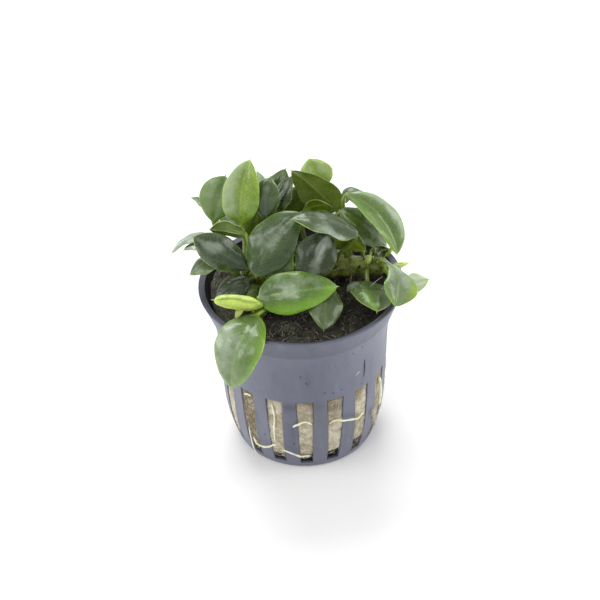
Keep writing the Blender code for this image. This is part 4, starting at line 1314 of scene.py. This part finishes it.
def peat_fibres(rnd, count):
    """Curled fibres on the plug's top, almost half of them in its heap at the left."""
    strands = []
    for _ in range(count):
        x, y, _ = around(*random_polar(rnd, TOP_RADIUS))
        if rnd.random() < 0.45:
            x, y = rnd.gauss(-20, 3.0), rnd.gauss(7, 5.0)
        if math.hypot(x, y) > FIBRE_START:
            continue
        way = rnd.uniform(0, FULL_TURN)
        reach = rnd.uniform(0.8, 3.2)
        curl = rnd.uniform(-0.9, 0.9)
        points = []
        for t in (0.0, 0.33, 0.66, 1.0):
            px = x + math.cos(way + curl * t) * reach * t
            py = y + math.sin(way + curl * t) * reach * t
            inside = min(1.0, FIBRE_REACH / max(math.hypot(px, py), 1e-6))
            px, py = px * inside, py * inside
            lift = rnd.uniform(0.1, 0.5) + 0.7 * math.sin(math.pi * t) * rnd.random()
            points.append((px, py, soil_height(px, py) + lift))
        strands.append((points, rnd.uniform(0.03, 0.075), rnd.random()))
    return strands


def moss_shoots(rnd, count):
    """Short upright shoots round one place near the front."""
    strands = []
    for _ in range(count):
        spread = abs(rnd.gauss(0, 1.0))
        way = rnd.uniform(0, FULL_TURN)
        x = -4.0 + 2.3 * spread * math.cos(way)
        y = -17.0 + 1.7 * spread * math.sin(way)
        if math.hypot(x, y) > LITTER_REACH:
            continue
        foot = Vector((x, y, soil_height(x, y) - 0.2))
        tall = rnd.uniform(0.5, 1.9) * math.exp(-spread * 0.4)
        lean = Vector((rnd.gauss(0, 0.5), rnd.gauss(0, 0.5), 1.0)).normalized() * tall
        bend = Vector((rnd.gauss(0, 0.25), rnd.gauss(0, 0.25), 0.0))
        strands.append(([foot, foot + lean * 0.5 + bend * 0.4, foot + lean + bend],
                        rnd.uniform(0.045, 0.09), rnd.random()))
    return strands


def slot_fibre(angle, z, way, reach, curl, out):
    """The points of a curled fibre on the wool in a slot, kept between the slot's edges."""
    middle = FRONT_SLOT + round((angle - FRONT_SLOT) / SLOT_PITCH) * SLOT_PITCH
    points = []
    for t in (0.0, 0.3, 0.65, 1.0):
        h = z + math.sin(way + curl * t) * reach * t
        h = min(max(h, POT_FLOOR + 0.5), SLOT_TOP - 0.6)
        limit = slot_half_angle(h) * 0.86
        a = angle + math.cos(way + curl * t) * reach * t / 22.0
        a = middle + min(max(a - middle, -limit), limit)
        points.append(around(a, wool_surface(a, h)
                             + (-0.1 + out * math.sin(math.pi * (t * 0.8 + 0.1))), h))
    return points


def slot_fibres(rnd, count):
    """Fibres all over the wool in the slots, then those that hang from its lower edge."""
    strands = []
    for _ in range(count):
        k = rnd.randrange(SLOT_COUNT)
        z = 4.6 + (SLOT_TOP - 5.6) * rnd.random() ** 1.3
        angle = FRONT_SLOT + k * SLOT_PITCH + rnd.uniform(-0.8, 0.8) * slot_half_angle(z)
        points = slot_fibre(angle, z, rnd.uniform(0, FULL_TURN), rnd.uniform(0.8, 4.0),
                            rnd.uniform(-1.2, 1.2), rnd.uniform(0.1, 0.55))
        strands.append((points, rnd.uniform(0.025, 0.06), rnd.random()))
    for k in range(SLOT_COUNT):
        middle = FRONT_SLOT + k * SLOT_PITCH
        for _ in range(HANGING if k else HANGING_FRONT):
            z = wool_bottom(middle) + rnd.uniform(0.6, 2.0)
            angle = middle + rnd.uniform(-0.85, 0.85) * slot_half_angle(z)
            points = slot_fibre(angle, z, -math.pi / 2 + rnd.gauss(0, 0.3),
                                rnd.uniform(0.8, 2.0), rnd.uniform(-0.4, 0.4),
                                rnd.uniform(0.1, 0.6))
            strands.append((points, rnd.uniform(0.05, 0.11), rnd.uniform(0.4, 1.0)))
    return strands


def tuft_fibres(rnd):
    """The tuft of wool that hangs over the ribs at the right."""
    (angle_0, z_0), (angle_1, z_1) = TUFT
    strands = []
    for _ in range(TUFT_FIBRES):
        share = rnd.random()
        points = []
        for t in (0.0, 0.4, 0.7, 1.0):
            a = math.radians(angle_0 + (angle_1 - angle_0) * (share + 0.25 * t)
                             + rnd.gauss(0, 1.6))
            z = z_0 + (z_1 - z_0) * (share + 0.25 * t) + rnd.gauss(0, 0.5)
            r = pot_radius(z) + 0.15 + rnd.uniform(0.0, 0.7) * math.sin(math.pi * t)
            points.append(around(a, r, z))
        strands.append((points, rnd.uniform(0.03, 0.08), rnd.uniform(0.7, 1.0)))
    return strands


def scales_and_roots(rnd):
    """The papery scales on both stems, and the short roots beside every fourth of them."""
    scales, roots = [], []
    for stem, count in SCALE_COUNTS:
        for number in range(count):
            t = (number + rnd.uniform(0.2, 0.8)) / count
            start, out = stem_point(stem, t, rnd.uniform(-80, 95), -0.35)
            ahead = stem_frame(stem, t)[1] * rnd.choice((-1, 1))
            way = (out * rnd.uniform(0.4, 0.8) + ahead * rnd.uniform(0.2, 0.8)
                   + Vector((0, 0, 0.35))).normalized()
            reach = rnd.uniform(1.4, 3.4)
            points = [start, start + way * reach * 0.5 + out * 0.1,
                      start + way * reach + Vector((0, 0, rnd.uniform(0.1, 0.9)))]
            scales.append(([keep_inside(point) for point in points],
                           rnd.uniform(0.45, 0.95), rnd.random()))
            if number % 4:
                continue
            turn = rnd.uniform(70, 110) * rnd.choice((-1, 1))
            start, out = stem_point(stem, t, turn, -0.3)
            end = start + out * rnd.uniform(0.6, 2.4) + ahead * rnd.uniform(-2.0, 2.0)
            keep_inside(end)
            end.z = soil_height(end.x, end.y) - 0.4
            middle = start.lerp(end, 0.5) + Vector((0, 0, rnd.uniform(0.3, 1.0)))
            roots.append(([start, keep_inside(middle), end], rnd.uniform(0.2, 0.4),
                          rnd.random()))
    return scales, roots


# Settings

# The camera: sensor width in mm, focal length and picture width in pixels, and the place in
# metres that it looks at.
SENSOR_WIDTH = 36.0
FOCAL_PIXELS = 1657.5
WIDTH_PIXELS = 600
CAMERA_AIM = (-0.00038, 0, 0.04367)
# The stage: width of the floor, the lights with their place, size and power, the place that
# they point at, all in metres and watts, and the brightness of the air.
FLOOR_SIZE = 6.0
LIGHTS = (("key_light", (-0.28, -0.5, 0.78), 0.42, 1.6),
          ("top_light", (-0.1, 0.55, 0.8), 0.6, 5.5),
          ("left_light", (-0.8, -0.1, 0.45), 0.5, 2.6),
          ("right_light", (0.8, -0.05, 0.45), 0.5, 2.6))
LIGHT_AIM = (0, 0, 0.05)
AIR_STRENGTH = 0.62


class ANUBIAS_PG_pot(bpy.types.PropertyGroup):
    """Size and finish of the net pot."""

    wall: bpy.props.FloatProperty(name="Wall", description="Thickness of the plastic",
                                  default=WALL * MM, unit="LENGTH")
    rounding: bpy.props.FloatProperty(name="Rounding", description="Radius of the moulded edges",
                                      default=ROUNDING * MM, unit="LENGTH")
    colour: bpy.props.FloatVectorProperty(name="Plastic", description="Colour of the plastic",
                                          subtype="COLOR", default=paint("#6e7183"))


class ANUBIAS_PG_plug(bpy.types.PropertyGroup):
    """Finish of the rock wool plug."""

    wool: bpy.props.FloatVectorProperty(name="Wool", description="Colour of the rock wool",
                                        subtype="COLOR", default=paint("#dad4c3"))
    peat: bpy.props.FloatVectorProperty(name="Peat", description="Colour of the plug's dark top",
                                        subtype="COLOR", default=paint("#2c2a22"))
    grains: bpy.props.IntProperty(name="Grains", description="Peat crumbs on the top",
                                  default=2200)
    tangle: bpy.props.IntProperty(name="Tangle", description="Peat fibres on the top",
                                  default=900)
    moss: bpy.props.IntProperty(name="Moss", description="Shoots in the moss tuft",
                                default=420)
    fibres: bpy.props.IntProperty(name="Fibres", description="Loose fibres in the slots",
                                  default=900)


class ANUBIAS_PG_leaves(bpy.types.PropertyGroup):
    """Size and finish of the leaves and the creeping stems."""

    stalk: bpy.props.FloatProperty(name="Stalk", description="Half thickness of a leaf stalk",
                                   default=0.62 * MM, unit="LENGTH")
    gloss: bpy.props.FloatProperty(name="Roughness", description="Roughness of the leaf skin",
                                   default=0.3, min=0.0, max=1.0)
    mature: bpy.props.FloatVectorProperty(name="Mature", description="Colour of mature leaves",
                                          subtype="COLOR", default=paint(TONES["mature"]["skin"]))
    # Painted shade: the colour for leaves that lie in shade.
    dark: bpy.props.FloatVectorProperty(name="Dark", description="Colour of shaded leaves",
                                        subtype="COLOR", default=paint(TONES["dark"]["skin"]))
    light: bpy.props.FloatVectorProperty(name="Light", description="Colour of lighter leaves",
                                         subtype="COLOR", default=paint(TONES["light"]["skin"]))
    bright: bpy.props.FloatVectorProperty(name="Bright", description="Colour of new leaves",
                                          subtype="COLOR", default=paint(TONES["bright"]["skin"]))
    young: bpy.props.FloatVectorProperty(name="Young", description="Colour of rolled leaves",
                                         subtype="COLOR", default=paint(TONES["young"]["skin"]))


class ANUBIAS_PG_stage(bpy.types.PropertyGroup):
    """Floor, lights and camera."""

    floor: bpy.props.FloatVectorProperty(name="Floor", description="Colour of the floor",
                                         subtype="COLOR", default=(0.92, 0.92, 0.92))
    distance: bpy.props.FloatProperty(name="Distance", description="From the camera to the pot",
                                      default=0.45, unit="LENGTH")
    elevation: bpy.props.FloatProperty(name="Elevation", description="Camera above the horizon",
                                       default=math.radians(37.33), subtype="ANGLE")
    roll: bpy.props.FloatProperty(name="Roll", description="Turn of the camera's frame",
                                  default=math.radians(-2.22), subtype="ANGLE")
    lens: bpy.props.FloatProperty(name="Lens", description="Focal length in mm",
                                  default=SENSOR_WIDTH * FOCAL_PIXELS / WIDTH_PIXELS)


# Operators

class ANUBIAS_OT_pot(bpy.types.Operator):
    """Make the slotted net pot"""

    bl_idname = "anubias.pot"
    bl_label = "Net pot"

    def execute(self, context):
        settings = context.scene.anubias_pot
        piece = build_pot_shell()
        close_floor(piece)
        apply_modifier(piece, "SOLIDIFY", thickness=settings.wall, offset=-1.0,
                       use_even_offset=True)
        flare_lip(piece)
        apply_modifier(piece, "BEVEL", width=settings.rounding, segments=2,
                       limit_method="ANGLE", angle_limit=math.radians(38))
        mark_pot(piece)
        make_active(piece)
        bpy.ops.object.shade_smooth_by_angle(angle=math.radians(50))
        finish_piece(piece, pot_material(tuple(settings.colour)), "pot_plastic", "net_pot")
        return {"FINISHED"}


class ANUBIAS_OT_plug(bpy.types.Operator):
    """Make the rock wool plug with its dark top"""

    bl_idname = "anubias.plug"
    bl_label = "Rock wool plug"

    def execute(self, context):
        settings = context.scene.anubias_plug
        angles = [FULL_TURN * c / PLUG_COLUMNS for c in range(PLUG_COLUMNS)]
        rings, top, high = [], [], []
        for on_top, row in plug_rows(angles):
            ring = []
            for a, (r, z, _) in zip(angles, row):
                p = around(a, r, z)
                fuzz = 0.16 * ripple(p, 1.1, 3.0) + 0.1 * ripple(p, 0.45, 7.0)
                if on_top:
                    z += 1.1 * abs(ripple(p, 3.2, 5.0)) + 2.2 * fuzz
                else:
                    r -= abs(fuzz) * 1.6 + 0.2 * (ripple(p, 4.0, 9.0) + 0.3)
                ring.append(around(a, r, z))
            rings.append(ring)
            top.append([float(on_top)] * PLUG_COLUMNS)
            high.append([brown for _, _, brown in row])
        piece = rolled_piece("rock_wool_plug", rings, {"top": top, "high": high})
        finish_piece(piece, wool_material(tuple(settings.wool), tuple(settings.peat)),
                     "rock_wool", "rock_wool")
        return {"FINISHED"}


class ANUBIAS_OT_litter(bpy.types.Operator):
    """Make the peat crumbs, fibres and moss on the plug"""

    bl_idname = "anubias.litter"
    bl_label = "Crumbs, fibres and moss"

    def execute(self, context):
        settings = context.scene.anubias_plug
        rnd = random.Random(11)
        piece = crumb_piece("peat_crumbs", peat_crumbs(rnd, settings.grains), 5)
        finish_piece(piece, shaded_material("peat", "#1f1e18", "#8c8d80", 0.8), "rock_wool")
        piece = strand_piece("peat_fibres", peat_fibres(rnd, settings.tangle))
        mat = shaded_material("peat_fibre", "#3d352a", "#a8a48f", 0.85)
        finish_piece(piece, mat, "rock_wool")
        piece = strand_piece("moss_tuft", moss_shoots(rnd, settings.moss), steps=4)
        finish_piece(piece, shaded_material("moss", "#3c422c", "#8f947c", 0.7), "rock_wool")
        return {"FINISHED"}


class ANUBIAS_OT_wool_fibres(bpy.types.Operator):
    """Make the loose wool fibres in the slots"""

    bl_idname = "anubias.wool_fibres"
    bl_label = "Wool fibres"

    def execute(self, context):
        rnd = random.Random(23)
        strands = slot_fibres(rnd, context.scene.anubias_plug.fibres) + tuft_fibres(rnd)
        mat = shaded_material("wool_fibre", "#9c8c68", "#efe9d6", 0.7)
        finish_piece(strand_piece("wool_fibres", strands), mat, "rock_wool")
        return {"FINISHED"}


class ANUBIAS_OT_dirt(bpy.types.Operator):
    """Make the specks, the stuck thread and the painted shadow of a crease on the pot, and the
    loose hairs among the leaves
    """

    bl_idname = "anubias.dirt"
    bl_label = "Dirt and threads"

    def execute(self, context):
        mat = shaded_material("dirt_and_crease_shadow", "#332f2b", "#eceae2", 0.6)

        def on_wall(degrees, z, out):
            return around(math.radians(degrees), pot_radius(z) + out, z)

        specks = [(on_wall(degrees, z, 0.03), size, 0.1) for degrees, z, size in SPECKS]
        finish_piece(crumb_piece("dirt_specks", specks, 8), mat, "rock_wool")
        # The first strand on the wall is painted shadow: a dark line where the wall has a crease.
        thread_and_crease_shadow = [([on_wall(degrees, z, 0.04) for degrees, z in track], radius, shade)
                   for track, radius, shade in THREAD_AND_CREASE_SHADOW]
        piece = strand_piece("thread_hairs_and_crease_shadow", thread_and_crease_shadow + list(HAIRS), sides=6, steps=12)
        finish_piece(piece, mat, "rock_wool")
        return {"FINISHED"}


class ANUBIAS_OT_scales(bpy.types.Operator):
    """Make the old leaf scales and the short roots on the creeping stems"""

    bl_idname = "anubias.scales"
    bl_label = "Scales and short roots"

    def execute(self, context):
        scales, roots = scales_and_roots(random.Random(31))
        piece = strand_piece("stem_scales", scales + [SCALE], sides=8, steps=8, flat=0.25)
        finish_piece(piece, shaded_material("old_scale", "#4a4a1e", "#a3ad55", 0.4), "rhizome")
        piece = strand_piece("stem_roots", roots, sides=8, steps=8)
        finish_piece(piece, shaded_material("short_root", "#39351f", "#6f6e44", 0.5), "root")
        return {"FINISHED"}


class ANUBIAS_OT_rhizome(bpy.types.Operator):
    """Make the creeping stems"""

    bl_idname = "anubias.rhizome"
    bl_label = "Rhizome"

    def execute(self, context):
        mat = plain_material("rhizome_skin", "#9caa4a", "#5c622a", 1.6, 0.38, 0.3)
        for stem, (points, radius) in STEMS.items():
            rings = []
            for t, centre, side, up in along_curve(points, STEM_ROWS):
                rounded = 1 - min(min(t, 1 - t) / 0.06, 1.0)
                closed = math.sqrt(max(0.0, 1 - rounded ** 2))
                ring = []
                for k in range(STEM_COLUMNS):
                    a = FULL_TURN * k / STEM_COLUMNS
                    way = outwards(side, up, a)
                    scar = 0.1 * abs(math.sin(t * 30 + 0.8 * math.sin(a))) ** 8
                    bark = 0.92 + scar + 0.12 * ripple(centre + way * radius, 2.2)
                    ring.append(centre + way * (radius * max(0.08, closed) * bark))
                rings.append(ring)
            piece = rolled_piece(stem + "_bark", rings)
            finish_piece(piece, mat, "rhizome", stem)
        return {"FINISHED"}


class ANUBIAS_OT_leaves(bpy.types.Operator):
    """Make every open leaf with its stalk"""

    bl_idname = "anubias.leaves"
    bl_label = "Leaves"

    def execute(self, context):
        settings = context.scene.anubias_leaves
        mats = {}
        for number, leaf in enumerate(LEAVES):
            rings, fields = leaf_rings(leaf, settings, number * 1.37)
            piece = rolled_piece("blade_" + leaf.name, rings, fields)
            slot = "leaf_" + leaf.tone
            if slot not in mats:
                mats[slot] = leaf_material(slot, leaf_tone(leaf.tone, settings), settings.gloss)
            finish_piece(piece, mats[slot], slot, "leaf_" + leaf.name)
        return {"FINISHED"}


class ANUBIAS_OT_shoots(bpy.types.Operator):
    """Make the young leaves that are still rolled up"""

    bl_idname = "anubias.shoots"
    bl_label = "Rolled leaves"

    def execute(self, context):
        settings = context.scene.anubias_leaves
        mat = leaf_material("leaf_young", leaf_tone("young", settings), settings.gloss + 0.05)
        for shoot in SHOOTS:
            rings, fields = shoot_rings(shoot, settings)
            piece = rolled_piece("shoot_" + shoot[0], rings, fields)
            finish_piece(piece, mat, "leaf_young", "leaf_" + shoot[0])
        return {"FINISHED"}


class ANUBIAS_OT_roots(bpy.types.Operator):
    """Make the roots that lie over the slots"""

    bl_idname = "anubias.roots"
    bl_label = "Roots"

    def execute(self, context):
        mat = plain_material("root_skin", "#f4f1e2", "#dcdcae", 3.0, 0.5, 0.05)
        for name, (radius, track) in ROOTS.items():
            points = []
            for degrees, z, out in track:
                a = math.radians(degrees)
                points.append(around(a, max(pot_radius(z) + out, wool_surface(a, z) + 0.1), z))
            rings = []
            for t, centre, side, up in along_curve(points, ROOT_ROWS):
                r = radius * (0.64 + 0.2 * ripple(centre, 1.5, 2.0))
                r *= 0.25 + 0.75 * min(1.0, min(t, 1 - t) * 14)
                rings.append([centre + outwards(side, up, FULL_TURN * k / ROOT_COLUMNS) * r
                              for k in range(ROOT_COLUMNS)])
            piece = rolled_piece(name + "_skin", rings)
            finish_piece(piece, mat, "root", name)
        return {"FINISHED"}


class ANUBIAS_OT_stage(bpy.types.Operator):
    """Make the floor, the lights and the camera"""

    bl_idname = "anubias.stage"
    bl_label = "Floor, lights and camera"

    def execute(self, context):
        settings = context.scene.anubias_stage
        clear_selection()
        bpy.ops.mesh.primitive_plane_add(size=FLOOR_SIZE, location=(0, 0, 0))
        floor = context.object
        floor.name = "studio_floor"
        n = Nodes("studio_floor")
        floor.data.materials.append(n.set(Base_Color=tuple(settings.floor), Roughness=0.8))
        for name, place, size, power in LIGHTS:
            bpy.ops.object.light_add(type="AREA", location=place)
            light = context.object
            light.name = name
            light.data.size = size
            light.data.energy = power
            light.visible_camera = False
            aim = Vector(LIGHT_AIM) - Vector(place)
            light.rotation_euler = aim.to_track_quat("-Z", "Y").to_euler()
        world = bpy.data.worlds.new("studio_air")
        world.use_nodes = True
        air = world.node_tree.nodes["Background"].inputs
        air["Color"].default_value = (1, 1, 1, 1)
        air["Strength"].default_value = AIR_STRENGTH
        context.scene.world = world
        context.scene.view_settings.view_transform = "Standard"
        e, r = settings.elevation, settings.roll
        back = Vector((0, -math.cos(e), math.sin(e)))
        up = Vector((0, math.sin(e), math.cos(e)))
        right = Vector((1, 0, 0))
        right, up = right * math.cos(r) + up * math.sin(r), up * math.cos(r) - right * math.sin(r)
        place = Vector(CAMERA_AIM) + back * settings.distance
        bpy.ops.object.camera_add(location=place)
        camera = context.object
        camera.matrix_world = Matrix(((right.x, up.x, back.x, place.x),
                                      (right.y, up.y, back.y, place.y),
                                      (right.z, up.z, back.z, place.z), (0, 0, 0, 1)))
        camera.data.sensor_width = SENSOR_WIDTH
        camera.data.lens = settings.lens
        camera.data.clip_start = 0.01
        context.scene.camera = camera
        return {"FINISHED"}


class ANUBIAS_PT_panel(bpy.types.Panel):
    """Buttons for each piece of the potted anubias"""

    bl_idname = "ANUBIAS_PT_panel"
    bl_label = "Potted anubias"
    bl_space_type = "VIEW_3D"
    bl_region_type = "UI"
    bl_category = "Anubias"

    def draw(self, context):
        for name, operators in STEPS:
            box = self.layout.box()
            settings = getattr(context.scene, name)
            for key in settings.__annotations__:
                box.prop(settings, key)
            for operator in operators:
                box.operator(operator.bl_idname)


STEPS = (
    ("anubias_pot", (ANUBIAS_OT_pot, ANUBIAS_OT_dirt)),
    ("anubias_plug", (ANUBIAS_OT_plug, ANUBIAS_OT_litter, ANUBIAS_OT_wool_fibres)),
    ("anubias_leaves", (ANUBIAS_OT_rhizome, ANUBIAS_OT_scales, ANUBIAS_OT_leaves,
                        ANUBIAS_OT_shoots, ANUBIAS_OT_roots)),
    ("anubias_stage", (ANUBIAS_OT_stage,)),
)
GROUPS = {"anubias_pot": ANUBIAS_PG_pot, "anubias_plug": ANUBIAS_PG_plug,
          "anubias_leaves": ANUBIAS_PG_leaves, "anubias_stage": ANUBIAS_PG_stage}
CLASSES = tuple(GROUPS.values()) + tuple(op for _, ops in STEPS for op in ops) + (
    ANUBIAS_PT_panel,)


def register():
    for cls in CLASSES:
        bpy.utils.register_class(cls)
    for name, group in GROUPS.items():
        setattr(bpy.types.Scene, name, bpy.props.PointerProperty(type=group))


def unregister():
    for name in GROUPS:
        delattr(bpy.types.Scene, name)
    for cls in reversed(CLASSES):
        bpy.utils.unregister_class(cls)


def main():
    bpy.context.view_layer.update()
    register()
    for _, operators in STEPS:
        for operator in operators:
            group, name = operator.bl_idname.split(".")
            getattr(getattr(bpy.ops, group), name)()


if __name__ == "__main__":
    main()
